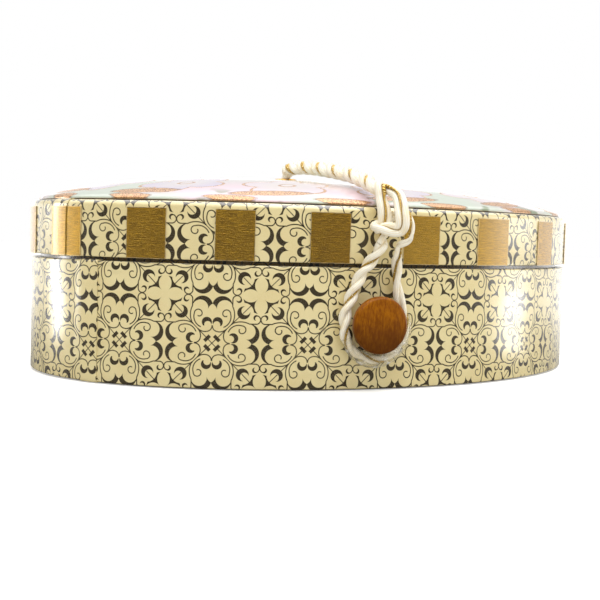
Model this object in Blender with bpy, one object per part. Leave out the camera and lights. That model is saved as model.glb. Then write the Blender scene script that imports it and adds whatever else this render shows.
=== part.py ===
"""Oval candy box: a card body with a neck collar, and a padded lid that a cord loop holds on a wooden button.

Metres, +Z up. The origin is the middle of the base and the button faces -Y.
"""
import math

import bmesh
import bpy
from mathutils import Matrix, Vector

# Overall form
LENGTH = 0.2286
WIDTH = 0.1524
BODY_HEIGHT = 0.0421
SEAM_GAP = 0.0013
LID_HEIGHT = 0.0194
LID_PROUD = 0.0003

# Sheet stock
BOARD = 0.0020
COLLAR_BOARD = 0.0015
FLOOR_CARD = 0.0008
PAPER = 0.0003
COVER_SHEET = 0.0005
GLUE_GAP = 0.0003

# Paper skins
BASE_COVER_INSET = 0.0025
BODY_EDGE_ROUND = 0.0006
TURN_UNDER = 0.0100
BODY_TURN_IN = 0.0120
NECK_WRAP_BELOW_SEAM = 0.0060
NECK_TURN_IN = 0.0080
LID_EDGE_ROUND = 0.0022
LID_TURN_OVER = 0.0100
LID_TURN_IN = 0.0080

# Padded top
COVER_RIM = 0.0010
CROWN_RISE = 0.0092
CROWN_POWER = 2.7
CROWN_INSET = 0.0027
CROWN_STEPS = (0.9, 0.77, 0.6, 0.42, 0.22)

# Gold squares: distance of each middle from the front's middle, and width, as laid by hand
SQUARES_IN_FRONT = (
    (-0.1240, 0.0148),
    (-0.0914, 0.0138),
    (-0.0615, 0.0132),
    (-0.0295, 0.0139),
    (0.0047, 0.0147),
    (0.0380, 0.0165),
    (0.0732, 0.0131),
)
SQUARES_BEHIND = 12
SQUARE_WIDTH = 0.0142
SQUARE_HEIGHT = 0.0170
SQUARE_FOIL = 0.0003

# Button and its screw
BUTTON_X = -0.0142
BUTTON_HEIGHT = 0.0232
BUTTON_RADIUS = 0.0097
BUTTON_HEAD = 0.0055
BUTTON_CROWN = 0.0010
BUTTON_UNDER_ROUND = 0.0020
BUTTON_FACE_ROUND = 0.0014
NECK_RADIUS = 0.0040
NECK_LENGTH = 0.0052
NECK_WAIST = 0.0005
SCREW_RADIUS = 0.0012
SCREW_GRIP = 0.0078
SCREW_POINT = 0.0016
SCREW_TIP_RADIUS = 0.0003
SCREW_HEAD_RADIUS = 0.0028
SCREW_HEAD = 0.0015
SCREW_HEAD_ROUND = 0.0011
SCREW_SLOT_WIDTH = 0.0007
SCREW_SLOT_DEPTH = 0.0006
HOLE_CLEARANCE = 0.0003
WASHER_RADIUS = 0.0042
WASHER_THICKNESS = 0.0005

# Cord
CORD_X = -0.0140
LEAD_RADIUS = 0.0025
LOOP_RADIUS = 0.0017
CORD_HOLE_CLEARANCE = 0.0005
EYELET_WALL = 0.0004
EYELET_DEPTH = 0.0040
EYELET_FLANGE_RADIUS = 0.0048
EYELET_FLANGE = 0.0015
CORD_WASHER_RADIUS = 0.0060
CORD_WASHER_THICKNESS = 0.0006
STOPPER_WIDTH = 0.0104
STOPPER_HEIGHT = 0.0090
KNOT_CENTRE = (-0.0104, -0.0822, 0.0558)
KNOT_WIDTH = 0.0136
KNOT_DEPTH = 0.0104
KNOT_HEIGHT = 0.0108
KNOT_DROP = 0.0030
WRAPS = 3
WRAP_GROOVE = 0.33
LEG_SPREAD = 0.0046
FILM = 0.0002

# Smoothness
OVAL_SEGMENTS = 48
ROUND_SEGMENTS = 28
SMALL_SEGMENTS = 16

# Levels that follow from the sizes above, from the floor up
WRAP_BOTTOM = PAPER + GLUE_GAP
BOARD_BOTTOM = WRAP_BOTTOM + PAPER + GLUE_GAP
FLOOR_LEVEL = BOARD_BOTTOM + BOARD + GLUE_GAP
HOOP_TOP = BODY_HEIGHT - PAPER - GLUE_GAP
LID_BOTTOM = BODY_HEIGHT + SEAM_GAP
LID_TOP = LID_BOTTOM + LID_HEIGHT
LID_BOARD_TOP = LID_TOP - PAPER - GLUE_GAP
LID_BOARD_BOTTOM = LID_BOARD_TOP - BOARD
LID_HOOP_TOP = LID_BOARD_BOTTOM - GLUE_GAP
LID_HOOP_BOTTOM = LID_BOTTOM + PAPER + GLUE_GAP
CEILING = LID_BOARD_BOTTOM - GLUE_GAP - PAPER
NECK_TOP = CEILING - GLUE_GAP
CORD_WASHER_TOP = CEILING - GLUE_GAP
STOPPER_TOP = CORD_WASHER_TOP - CORD_WASHER_THICKNESS - GLUE_GAP
COVER_EDGE = LID_TOP + GLUE_GAP

# How far each wall layer's outer face lies inside the body's outline
HOOP_INSET = PAPER + GLUE_GAP
INSIDE_HOOP = HOOP_INSET + BOARD + GLUE_GAP
NECK_WRAP_INSET = INSIDE_HOOP + PAPER + GLUE_GAP
COLLAR_INSET = NECK_WRAP_INSET + PAPER + GLUE_GAP
LINING_INSET = COLLAR_INSET + COLLAR_BOARD + GLUE_GAP
LINING_INNER = LINING_INSET + PAPER
LID_HOOP_INSET = HOOP_INSET - LID_PROUD
INSIDE_LID_HOOP = LID_HOOP_INSET + BOARD + GLUE_GAP

CORD_HOLE_RADIUS = LEAD_RADIUS + CORD_HOLE_CLEARANCE
EYELET_RADIUS = CORD_HOLE_RADIUS + EYELET_WALL
SCREW_HOLE_RADIUS = SCREW_RADIUS + HOLE_CLEARANCE

# Route of the lead above the eyelet, from the eyelet forward to the knot
LEAD_ROUTE = (
    (-0.0140, -0.0008, 0.0776),
    (-0.0138, -0.0036, 0.0788),
    (-0.0135, -0.0080, 0.0792),
    (-0.0131, -0.0160, 0.0791),
    (-0.0126, -0.0250, 0.0785),
    (-0.0122, -0.0410, 0.0760),
    (-0.0115, -0.0560, 0.0726),
    (-0.0117, -0.0680, 0.0692),
    (-0.0119, -0.0755, 0.0673),
    (-0.0112, -0.0804, 0.0658),
)

# Route of the loop below the knot, down the left leg, round the bottom and up the right leg
LOOP_ROUTE = (
    (-0.0142, -0.0799, 0.0450),
    (-0.0165, -0.0791, 0.0436),
    (-0.0186, -0.0785, 0.0416),
    (-0.0202, -0.0780, 0.0386),
    (-0.0218, -0.0777, 0.0351),
    (-0.0233, -0.0774, 0.0309),
    (-0.0246, -0.0773, 0.0267),
    (-0.0250, -0.0772, 0.0227),
    (-0.0245, -0.0773, 0.0189),
    (-0.0227, -0.0775, 0.0155),
    (-0.0196, -0.0778, 0.0126),
    (-0.0146, -0.0783, 0.0109),
    (-0.0095, -0.0786, 0.0117),
    (-0.0052, -0.0788, 0.0144),
    (-0.0026, -0.0789, 0.0185),
    (-0.0023, -0.0789, 0.0228),
    (-0.0034, -0.0789, 0.0274),
    (-0.0051, -0.0790, 0.0320),
    (-0.0061, -0.0791, 0.0370),
    (-0.0065, -0.0794, 0.0415),
    (-0.0074, -0.0804, 0.0452),
)
FILM_START = 0.36
FILM_END = 0.74


def make_material(name, colour, roughness, metallic=0.0):
    """A plain finish."""
    material = bpy.data.materials.new(name)
    material.use_nodes = True
    shader = material.node_tree.nodes["Principled BSDF"]
    shader.inputs["Base Color"].default_value = (*colour, 1.0)
    shader.inputs["Roughness"].default_value = roughness
    shader.inputs["Metallic"].default_value = metallic
    return material


def add_object(name, data, material, parent):
    """Puts a mesh or curve into the scene with its finish, under the body that carries it."""
    obj = bpy.data.objects.new(name, data)
    data.materials.append(material)
    bpy.context.scene.collection.objects.link(obj)
    obj.parent = parent
    obj.matrix_parent_inverse = parent.matrix_world.inverted()
    return obj


def add_carrier(name, location=(0.0, 0.0, 0.0), parent=None):
    """An empty that stands for a rigid body, with its origin on the body's joint."""
    carrier = bpy.data.objects.new(name, None)
    carrier.empty_display_size = 0.02
    bpy.context.scene.collection.objects.link(carrier)
    carrier.location = location
    carrier.parent = parent
    bpy.context.view_layer.update()
    return carrier


def mesh_from(bm, name, smooth_angle=35.0):
    """Turns a bmesh into a mesh with its faces out and its round sides smooth."""
    bmesh.ops.recalc_face_normals(bm, faces=bm.faces)
    mesh = bpy.data.meshes.new(name)
    bm.to_mesh(mesh)
    bm.free()
    mesh.shade_smooth()
    mesh.set_sharp_from_angle(angle=math.radians(smooth_angle))
    return mesh


def loft(name, rings, segments=OVAL_SEGMENTS, closed=False):
    """Skins a body over oval rings (half length, half width, height), capped or closed like a hoop."""
    bm = bmesh.new()
    loops = []
    for half_length, half_width, height in rings:
        loop = []
        for step in range(segments):
            angle = 2.0 * math.pi * step / segments
            loop.append(bm.verts.new((half_length * math.cos(angle), half_width * math.sin(angle), height)))
        loops.append(loop)
    pairs = list(zip(loops, loops[1:]))
    if closed:
        pairs.append((loops[-1], loops[0]))
    else:
        bm.faces.new(loops[0])
        bm.faces.new(loops[-1])
    for lower, upper in pairs:
        for step in range(segments):
            after = (step + 1) % segments
            bm.faces.new((lower[step], lower[after], upper[after], upper[step]))
    return mesh_from(bm, name)


def oval(inset, height):
    """The oval that lies this far inside the body's outline, at a height."""
    return (LENGTH / 2 - inset, WIDTH / 2 - inset, height)


def hoop(name, inset, thickness, bottom, top):
    """An upright oval band."""
    inner = inset + thickness
    rings = [oval(inset, bottom), oval(inset, top), oval(inner, top), oval(inner, bottom)]
    return loft(name, rings, closed=True)


def disc(name, inset, bottom, top):
    """A flat oval plate."""
    return loft(name, [oval(inset, bottom), oval(inset, top)])


def corner(centre, radius, start, end, steps=2):
    """Points of a round corner in a profile, from one angle in degrees to another."""
    points = []
    for step in range(steps + 1):
        angle = math.radians(start + (end - start) * step / steps)
        points.append((centre[0] + radius * math.cos(angle), centre[1] + radius * math.sin(angle)))
    return points


def thicken(path, thickness):
    """Closes a profile path into a band of even thickness, laid to the right of the path's direction."""
    inner = []
    for index, point in enumerate(path):
        here = Vector(point)
        before = Vector(path[index - 1]) if index > 0 else None
        after = Vector(path[index + 1]) if index < len(path) - 1 else None
        sides = []
        for start, end in ((before, here), (here, after)):
            if start is not None and end is not None:
                way = (end - start).normalized()
                sides.append(Vector((way.y, -way.x)))
        side = sum(sides, Vector((0.0, 0.0))).normalized()
        inner.append(here + side * thickness / side.dot(sides[0]))
    return list(path) + [(p.x, p.y) for p in reversed(inner)]


def skin(name, path):
    """A paper skin swept round the box along a profile path of (inset, height) points."""
    return loft(name, [oval(inset, height) for inset, height in thicken(path, PAPER)], closed=True)


def turned(name, profile, segments=ROUND_SEGMENTS):
    """A turned piece from (radius, height) points, capped at both ends."""
    return loft(name, [(radius, radius, height) for radius, height in profile], segments)


def turned_ring(name, profile, segments=ROUND_SEGMENTS):
    """A turned piece with a bore, from a closed profile of (radius, height) points."""
    return loft(name, [(radius, radius, height) for radius, height in profile], segments, closed=True)


def add_cutter(name, mesh, place):
    """A hidden body that cuts others."""
    cutter = bpy.data.objects.new(name, mesh)
    bpy.context.scene.collection.objects.link(cutter)
    cutter.matrix_world = place
    cutter.hide_render = True
    cutter.display_type = "WIRE"
    return cutter


def cut(obj, cutter):
    """Cuts one body out of another."""
    modifier = obj.modifiers.new(cutter.name, "BOOLEAN")
    modifier.operation = "DIFFERENCE"
    modifier.solver = "EXACT"
    modifier.object = cutter


def wall_place(x, height):
    """The place on the front wall at x, with its Z axis pointing straight out of the wall."""
    y = -WIDTH / 2 * math.sqrt(1.0 - (2.0 * x / LENGTH) ** 2)
    outward = Vector((x / LENGTH**2, y / WIDTH**2, 0.0)).normalized()
    turn = outward.to_track_quat("Z", "Y").to_matrix().to_4x4()
    return Matrix.Translation((x, y, height)) @ turn


def arc_angles(arcs, inset):
    """The oval's angle at each distance along it from the front's middle, positive towards +X."""
    half_length, half_width, _ = oval(inset, 0.0)
    steps = 7200
    angles = [-math.pi / 2]
    lengths = [0.0]
    for step in range(steps):
        angle = angles[-1] + math.pi / steps
        speed = math.hypot(half_length * math.sin(angle), half_width * math.cos(angle))
        lengths.append(lengths[-1] + speed * 2.0 * math.pi / steps)
        angles.append(angle + math.pi / steps)
    whole = lengths[-1]
    found = []
    for arc in arcs:
        share = arc % whole
        low = next(index for index, length in enumerate(lengths) if length >= share)
        found.append(angles[low])
    return found


def oval_length(inset):
    """How far it is round the oval at this inset."""
    half_length, half_width, _ = oval(inset, 0.0)
    share = ((half_length - half_width) / (half_length + half_width)) ** 2
    ramanujan = 1.0 + 3.0 * share / (10.0 + math.sqrt(4.0 - 3.0 * share))
    return math.pi * (half_length + half_width) * ramanujan


def smooth_route(points, spacing):
    """Evenly spaced points on a smooth curve through a route's own points."""
    points = [Vector(point) for point in points]
    ends = [2 * points[0] - points[1]] + points + [2 * points[-1] - points[-2]]
    fine = []
    for before, start, end, after in zip(ends, ends[1:], ends[2:], ends[3:]):
        for step in range(24):
            t = step / 24.0
            bend = 2 * start + (end - before) * t + (2 * before - 5 * start + 4 * end - after) * t**2
            bend += (3 * start - before - 3 * end + after) * t**3
            fine.append(bend / 2)
    fine.append(points[-1])
    lengths = [0.0]
    for start, end in zip(fine, fine[1:]):
        lengths.append(lengths[-1] + (end - start).length)
    count = max(2, round(lengths[-1] / spacing))
    route = []
    index = 0
    for step in range(count + 1):
        target = lengths[-1] * step / count
        while index < len(lengths) - 2 and lengths[index + 1] < target:
            index += 1
        share = (target - lengths[index]) / (lengths[index + 1] - lengths[index])
        route.append(fine[index].lerp(fine[index + 1], share))
    return route, lengths[-1]


def tube(name, points, radius):
    """A round cord along points."""
    curve = bpy.data.curves.new(name, "CURVE")
    curve.dimensions = "3D"
    curve.bevel_depth = radius
    curve.bevel_resolution = 2
    curve.use_fill_caps = True
    spline = curve.splines.new("POLY")
    spline.points.add(len(points) - 1)
    for target, point in zip(spline.points, points):
        target.co = (*point, 1.0)
    return curve


def sleeve(name, points, inner_radius, thickness, sides=12):
    """A thin open-ended sleeve round a route."""
    bm = bmesh.new()
    sections = []
    up = Vector((0.0, -1.0, 0.0))
    for index, point in enumerate(points):
        before = points[max(index - 1, 0)]
        after = points[min(index + 1, len(points) - 1)]
        way = (after - before).normalized()
        side = up.cross(way).normalized()
        front = way.cross(side)
        section = []
        for radius in (inner_radius, inner_radius + thickness):
            ring = []
            for step in range(sides):
                angle = 2.0 * math.pi * step / sides
                offset = side * math.cos(angle) + front * math.sin(angle)
                ring.append(bm.verts.new(point + offset * radius))
            section.append(ring)
        sections.append(section)
    for step in range(sides):
        after = (step + 1) % sides
        for (inner_a, outer_a), (inner_b, outer_b) in zip(sections, sections[1:]):
            bm.faces.new((inner_a[step], inner_a[after], inner_b[after], inner_b[step]))
            bm.faces.new((outer_a[step], outer_b[step], outer_b[after], outer_a[after]))
        for inner, outer in (sections[0], sections[-1]):
            bm.faces.new((inner[step], outer[step], outer[after], inner[after]))
    return mesh_from(bm, name)


def build_body(box):
    """The card body: hoop and base board, their papers, the neck collar and its linings."""
    board = make_material("greyboard", (0.42, 0.37, 0.30), 0.9)
    print_paper = make_material("scroll_print", (0.78, 0.66, 0.40), 0.35)
    neck_paper = make_material("neck_paper", (0.30, 0.27, 0.16), 0.6)
    lining_paper = make_material("lining_paper", (0.80, 0.74, 0.60), 0.8)
    base_paper = make_material("base_paper", (0.20, 0.17, 0.12), 0.85)

    add_object("base_cover", disc("base_cover", BASE_COVER_INSET, 0.0, PAPER), base_paper, box)
    base_top = BOARD_BOTTOM + BOARD
    base_mesh = disc("base_board", INSIDE_HOOP, BOARD_BOTTOM, base_top)
    add_object("base_board", base_mesh, board, box)
    hoop_mesh = hoop("body_hoop", HOOP_INSET, BOARD, BOARD_BOTTOM, HOOP_TOP)
    body_hoop = add_object("body_hoop", hoop_mesh, board, box)

    bend = BODY_EDGE_ROUND
    inside = INSIDE_HOOP + PAPER
    path = [(TURN_UNDER, WRAP_BOTTOM)]
    path += corner((bend, WRAP_BOTTOM + bend), bend, 270, 180, steps=1)
    path += corner((bend, BODY_HEIGHT - bend), bend, 180, 90)
    path += corner((inside - bend, BODY_HEIGHT - bend), bend, 90, 0, steps=1)
    path.append((inside, BODY_HEIGHT - BODY_TURN_IN))
    body_wrap = add_object("body_wrap", skin("body_wrap", path), print_paper, box)

    collar_top = NECK_TOP - PAPER - GLUE_GAP
    collar_mesh = hoop("neck_collar", COLLAR_INSET, COLLAR_BOARD, FLOOR_LEVEL, collar_top)
    neck_collar = add_object("neck_collar", collar_mesh, board, box)
    neck_path = [(NECK_WRAP_INSET, BODY_HEIGHT - NECK_WRAP_BELOW_SEAM), (NECK_WRAP_INSET, NECK_TOP)]
    neck_path += [(LINING_INNER, NECK_TOP), (LINING_INNER, NECK_TOP - NECK_TURN_IN)]
    add_object("neck_wrap", skin("neck_wrap", neck_path), neck_paper, box)

    lining_top = NECK_TOP - NECK_TURN_IN - GLUE_GAP
    lining_mesh = hoop("body_lining", LINING_INSET, PAPER, FLOOR_LEVEL, lining_top)
    body_lining = add_object("body_lining", lining_mesh, lining_paper, box)
    floor_mesh = disc("floor_lining", LINING_INNER + GLUE_GAP, FLOOR_LEVEL, FLOOR_LEVEL + FLOOR_CARD)
    add_object("floor_lining", floor_mesh, lining_paper, box)
    return [body_wrap, body_hoop, neck_collar, body_lining]


def build_button(box, walls):
    """The turned wooden button, its screw through the wall, and the washer inside."""
    wood = make_material("varnished_wood", (0.30, 0.11, 0.02), 0.3)
    steel = make_material("screw_steel", (0.60, 0.60, 0.58), 0.35, 1.0)
    place = wall_place(BUTTON_X, BUTTON_HEIGHT)
    inside = -(LINING_INNER + GLUE_GAP)
    head_back = inside - WASHER_THICKNESS - GLUE_GAP
    under = GLUE_GAP + NECK_LENGTH
    front = under + BUTTON_HEAD
    pilot_end = SCREW_GRIP + SCREW_POINT + HOLE_CLEARANCE

    bend = BUTTON_UNDER_ROUND
    waist = (NECK_RADIUS - NECK_WAIST, GLUE_GAP + NECK_LENGTH / 2)
    profile = [(NECK_RADIUS, GLUE_GAP), waist, (NECK_RADIUS, under)]
    profile += corner((BUTTON_RADIUS - bend, under + bend), bend, 270, 360)
    bend = BUTTON_FACE_ROUND
    profile += corner((BUTTON_RADIUS - bend, front - BUTTON_CROWN - bend), bend, 0, 90)
    for share in (0.66, 0.3):
        profile.append(((BUTTON_RADIUS - bend) * share, front - BUTTON_CROWN * share**2))
    solid = turned("button", profile)
    button = add_object("button", solid, wood, box)
    button.matrix_world = place
    bore = [(SCREW_HOLE_RADIUS, -GLUE_GAP), (SCREW_HOLE_RADIUS, pilot_end)]
    pilot = turned("pilot_hole", bore, SMALL_SEGMENTS)
    cut(button, add_cutter("pilot_hole", pilot, place))

    drill = turned("screw_hole", [(SCREW_HOLE_RADIUS, inside), (SCREW_HOLE_RADIUS, GLUE_GAP)], SMALL_SEGMENTS)
    hole = add_cutter("screw_hole", drill, place)
    for wall in walls:
        cut(wall, hole)

    far = inside - WASHER_THICKNESS
    washer_profile = [(SCREW_HOLE_RADIUS, inside), (WASHER_RADIUS, inside)]
    washer_profile += [(WASHER_RADIUS, far), (SCREW_HOLE_RADIUS, far)]
    washer = add_object("button_washer", turned_ring("button_washer", washer_profile), steel, box)
    washer.matrix_world = place

    bend = SCREW_HEAD_ROUND
    screw_profile = corner((SCREW_HEAD_RADIUS - bend, head_back - SCREW_HEAD + bend), bend, 270, 360)
    screw_profile += [(SCREW_HEAD_RADIUS, head_back), (SCREW_RADIUS, head_back), (SCREW_RADIUS, SCREW_GRIP)]
    screw_profile += [(SCREW_TIP_RADIUS, SCREW_GRIP + SCREW_POINT)]
    screw = add_object("button_screw", turned("button_screw", screw_profile, SMALL_SEGMENTS), steel, box)
    screw.matrix_world = place
    slot = bmesh.new()
    bmesh.ops.create_cube(slot, size=1.0)
    slot_size = (SCREW_HEAD_RADIUS * 3.0, SCREW_SLOT_WIDTH, SCREW_SLOT_DEPTH * 2.0)
    bmesh.ops.scale(slot, vec=slot_size, verts=slot.verts)
    slot_place = place @ Matrix.Translation((0.0, 0.0, head_back - SCREW_HEAD))
    cut(screw, add_cutter("screw_slot", mesh_from(slot, "screw_slot"), slot_place))


def crown_height(share, drop):
    """Height of the padded top at a share of the way out from its middle, less a drop."""
    return COVER_EDGE + COVER_RIM + CROWN_RISE * (1.0 - share**CROWN_POWER) - drop


def crown_rings(drop):
    """Rings of the padded top this far below its surface: an upright edge, then the crown."""
    half_length, half_width, _ = oval(CROWN_INSET + drop, 0.0)
    rings = [(half_length, half_width, COVER_EDGE), (half_length, half_width, crown_height(1.0, drop))]
    half_length, half_width, _ = oval(CROWN_INSET, 0.0)
    for share in CROWN_STEPS:
        rings.append((half_length * share, half_width * share, crown_height(share, drop)))
    return rings


def build_padded_top(lid):
    """The wadding pad and the picture cover stretched over it."""
    wadding = make_material("wadding", (0.90, 0.88, 0.84), 1.0)
    picture = make_material("picture_cover", (0.62, 0.62, 0.58), 0.12)
    shell = list(reversed(crown_rings(COVER_SHEET))) + crown_rings(0.0)
    cover = add_object("top_cover", loft("top_cover", shell), picture, lid)
    pad = add_object("top_pad", loft("top_pad", crown_rings(COVER_SHEET + GLUE_GAP)), wadding, lid)
    return cover, pad


def curved_square(name, middle, width, inner, outer):
    """A foil square that follows the lid's side, from its lower edge up."""
    bm = bmesh.new()
    arcs = [middle + width * (step / 3.0 - 0.5) for step in range(4)]
    columns = []
    for angle in arc_angles(arcs, inner):
        column = []
        for inset in (inner, outer):
            half_length, half_width, _ = oval(inset, 0.0)
            x = half_length * math.cos(angle)
            y = half_width * math.sin(angle)
            column.append(bm.verts.new((x, y, LID_BOTTOM)))
            column.append(bm.verts.new((x, y, LID_BOTTOM + SQUARE_HEIGHT)))
        columns.append(column)
    for left, right in zip(columns, columns[1:]):
        bm.faces.new((left[0], right[0], right[1], left[1]))
        bm.faces.new((left[2], left[3], right[3], right[2]))
        bm.faces.new((left[0], left[2], right[2], right[0]))
        bm.faces.new((left[1], right[1], right[3], left[3]))
    for column in (columns[0], columns[-1]):
        bm.faces.new((column[0], column[1], column[3], column[2]))
    return mesh_from(bm, name)


def build_gold_squares(lid):
    """Foil squares glued round the lid's side."""
    foil = make_material("gold_foil", (0.42, 0.29, 0.07), 0.35, 0.9)
    inner = -(LID_PROUD + GLUE_GAP)
    outer = inner - SQUARE_FOIL
    squares = list(SQUARES_IN_FRONT)
    first = squares[0][0] + oval_length(inner)
    last = squares[-1][0]
    for step in range(1, SQUARES_BEHIND + 1):
        middle = last + (first - last) * step / (SQUARES_BEHIND + 1)
        squares.append((middle, SQUARE_WIDTH))
    for index, (middle, width) in enumerate(squares, start=1):
        name = f"gold_square_{index:02d}"
        add_object(name, curved_square(name, middle, width, inner, outer), foil, lid)


def build_lid(lid):
    """The lid's hoop and board, their papers, the squares and the padded top."""
    board = make_material("lid_greyboard", (0.42, 0.37, 0.30), 0.9)
    print_paper = make_material("lid_scroll_print", (0.78, 0.66, 0.40), 0.35)
    lining_paper = make_material("lid_lining_paper", (0.80, 0.74, 0.60), 0.8)

    hoop_mesh = hoop("lid_hoop", LID_HOOP_INSET, BOARD, LID_HOOP_BOTTOM, LID_HOOP_TOP)
    add_object("lid_hoop", hoop_mesh, board, lid)
    bend = LID_EDGE_ROUND - PAPER - GLUE_GAP
    rim = [(LID_HOOP_INSET, LID_BOARD_BOTTOM)]
    rim += corner((LID_HOOP_INSET + bend, LID_BOARD_TOP - bend), bend, 180, 90, steps=3)
    board_mesh = loft("lid_board", [oval(inset, height) for inset, height in rim])
    lid_board = add_object("lid_board", board_mesh, board, lid)

    edge = -LID_PROUD
    inside = INSIDE_LID_HOOP + PAPER
    fold = BODY_EDGE_ROUND
    path = [(inside, LID_BOTTOM + LID_TURN_IN)]
    path += corner((inside - fold, LID_BOTTOM + fold), fold, 360, 270, steps=1)
    path += corner((edge + fold, LID_BOTTOM + fold), fold, 270, 180, steps=1)
    path += corner((edge + LID_EDGE_ROUND, LID_TOP - LID_EDGE_ROUND), LID_EDGE_ROUND, 180, 90, steps=3)
    path.append((edge + LID_TURN_OVER, LID_TOP))
    add_object("lid_wrap", skin("lid_wrap", path), print_paper, lid)
    build_gold_squares(lid)

    wall_bottom = LID_BOTTOM + LID_TURN_IN + GLUE_GAP
    wall_mesh = hoop("lid_wall_lining", INSIDE_LID_HOOP, PAPER, wall_bottom, LID_HOOP_TOP)
    add_object("lid_wall_lining", wall_mesh, lining_paper, lid)
    ceiling_mesh = disc("lid_lining", inside + GLUE_GAP, CEILING, CEILING + PAPER)
    lid_lining = add_object("lid_lining", ceiling_mesh, lining_paper, lid)
    cover, pad = build_padded_top(lid)

    place = Matrix.Translation((CORD_X, 0.0, 0.0))
    low = CEILING - GLUE_GAP
    narrow = [(CORD_HOLE_RADIUS, low), (CORD_HOLE_RADIUS, LID_TOP)]
    cord_hole = add_cutter("cord_hole", turned("cord_hole", narrow, SMALL_SEGMENTS), place)
    for plate in (lid_board, lid_lining):
        cut(plate, cord_hole)
    wide_radius = EYELET_RADIUS + GLUE_GAP
    wide = [(wide_radius, LID_TOP), (wide_radius, crown_height(0.0, 0.0) + GLUE_GAP)]
    eyelet_hole = add_cutter("eyelet_hole", turned("eyelet_hole", wide, SMALL_SEGMENTS), place)
    for layer in (cover, pad):
        cut(layer, eyelet_hole)


def wound_knot(name, size, top, collar):
    """A tied knot as fat wraps with grooves between them, narrower at both ends where the cord leaves it."""
    width, depth, height = size
    wrap = height / WRAPS
    rings = [(*collar, top - height)]
    for index in range(WRAPS):
        for level in (0.04, 0.24, 0.5, 0.76, 0.96):
            bulge = math.sqrt(1.0 - (2.0 * level - 1.0) ** 2)
            share = 1.0 - WRAP_GROOVE * (1.0 - bulge)
            rings.append((width / 2 * share, depth / 2 * share, top - height + wrap * (index + level)))
    rings.append((*collar, top))
    return loft(name, rings, SMALL_SEGMENTS)


def build_cord(lid, loop):
    """The cord: stopper knot and washer inside the lid, eyelet, lead, loop knot, loop and its film."""
    satin = make_material("satin_cord", (0.88, 0.82, 0.66), 0.4)
    brass = make_material("eyelet_brass", (0.62, 0.42, 0.12), 0.3, 1.0)
    clear = make_material("clear_film", (0.85, 0.84, 0.76), 0.15)
    place = Matrix.Translation((CORD_X, 0.0, 0.0))

    washer_low = CORD_WASHER_TOP - CORD_WASHER_THICKNESS
    washer_profile = [(CORD_HOLE_RADIUS, washer_low), (CORD_WASHER_RADIUS, washer_low)]
    washer_profile += [(CORD_WASHER_RADIUS, CORD_WASHER_TOP), (CORD_HOLE_RADIUS, CORD_WASHER_TOP)]
    washer = add_object("cord_washer", turned_ring("cord_washer", washer_profile), brass, lid)
    washer.matrix_world = place
    collar = (LEAD_RADIUS + GLUE_GAP, LEAD_RADIUS + GLUE_GAP)
    stopper_size = (STOPPER_WIDTH, STOPPER_WIDTH, STOPPER_HEIGHT)
    stopper_mesh = wound_knot("stopper_knot", stopper_size, STOPPER_TOP, collar)
    stopper = add_object("stopper_knot", stopper_mesh, satin, lid)
    stopper.matrix_world = place

    seat = crown_height(0.0, 0.0) + GLUE_GAP
    top = seat + EYELET_FLANGE
    bore = CORD_HOLE_RADIUS
    bend = EYELET_FLANGE / 2
    foot = seat - EYELET_DEPTH
    eyelet_profile = [(bore, foot), (EYELET_RADIUS, foot), (EYELET_RADIUS, seat)]
    eyelet_profile += corner((EYELET_FLANGE_RADIUS - bend, seat + bend), bend, 270, 450, steps=3)
    eyelet_profile += corner((bore + bend, seat + bend), bend, 90, 180, steps=1)
    eyelet = add_object("cord_eyelet", turned_ring("cord_eyelet", eyelet_profile), brass, lid)
    eyelet.matrix_world = place

    knot_x, knot_y, knot_z = KNOT_CENTRE
    knot_top = knot_z + KNOT_HEIGHT / 2
    knot_bottom = knot_z - KNOT_HEIGHT / 2
    start = [(CORD_X, 0.0, height) for height in (STOPPER_TOP + GLUE_GAP, (STOPPER_TOP + top) / 2, top)]
    end = [(knot_x, knot_y, knot_top + KNOT_DROP), (knot_x, knot_y, knot_top + GLUE_GAP)]
    lead_points, lead_length = smooth_route(start + list(LEAD_ROUTE) + end, LEAD_RADIUS)
    add_object("cord_lead", tube("cord_lead", lead_points, LEAD_RADIUS), satin, lid)
    knot_collar = (LEG_SPREAD / 2 + LOOP_RADIUS + GLUE_GAP, LEG_SPREAD / 2 + LOOP_RADIUS)
    knot_mesh = wound_knot("loop_knot", (KNOT_WIDTH, KNOT_DEPTH, KNOT_HEIGHT), KNOT_HEIGHT / 2, knot_collar)
    knot = add_object("loop_knot", knot_mesh, satin, lid)
    knot.matrix_world = Matrix.Translation(KNOT_CENTRE)

    half = LEG_SPREAD / 2
    leave = knot_bottom - GLUE_GAP
    left = [(knot_x - half, knot_y, leave), (knot_x - half, knot_y, leave - KNOT_DROP)]
    right = [(knot_x + half, knot_y, leave - KNOT_DROP), (knot_x + half, knot_y, leave)]
    loop_points, loop_length = smooth_route(left + list(LOOP_ROUTE) + right, LOOP_RADIUS * 2.4)
    add_object("cord_loop", tube("cord_loop", loop_points, LOOP_RADIUS), satin, loop)
    first = round(FILM_START * (len(loop_points) - 1))
    last = round(FILM_END * (len(loop_points) - 1))
    film_mesh = sleeve("loop_film", loop_points[first : last + 1], LOOP_RADIUS + GLUE_GAP, FILM)
    add_object("loop_film", film_mesh, clear, loop)
    print(f"lead {lead_length:.4f} m, loop {loop_length:.4f} m")


def main():
    for obj in list(bpy.data.objects):
        bpy.data.objects.remove(obj, do_unlink=True)
    box = add_carrier("box")
    lid = add_carrier("lid", parent=box)
    knot_x, knot_y, knot_z = KNOT_CENTRE
    loop = add_carrier("loop", (knot_x, knot_y, knot_z - KNOT_HEIGHT / 2), lid)
    walls = build_body(box)
    build_button(box, walls)
    build_lid(lid)
    build_cord(lid, loop)


main()
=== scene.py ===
"""Looks of the oval candy box: printed papers, foil squares, padded picture top, button and tied cord.

Metres, +Z up. The origin is the middle of the base and the button faces -Y.
"""

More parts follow.
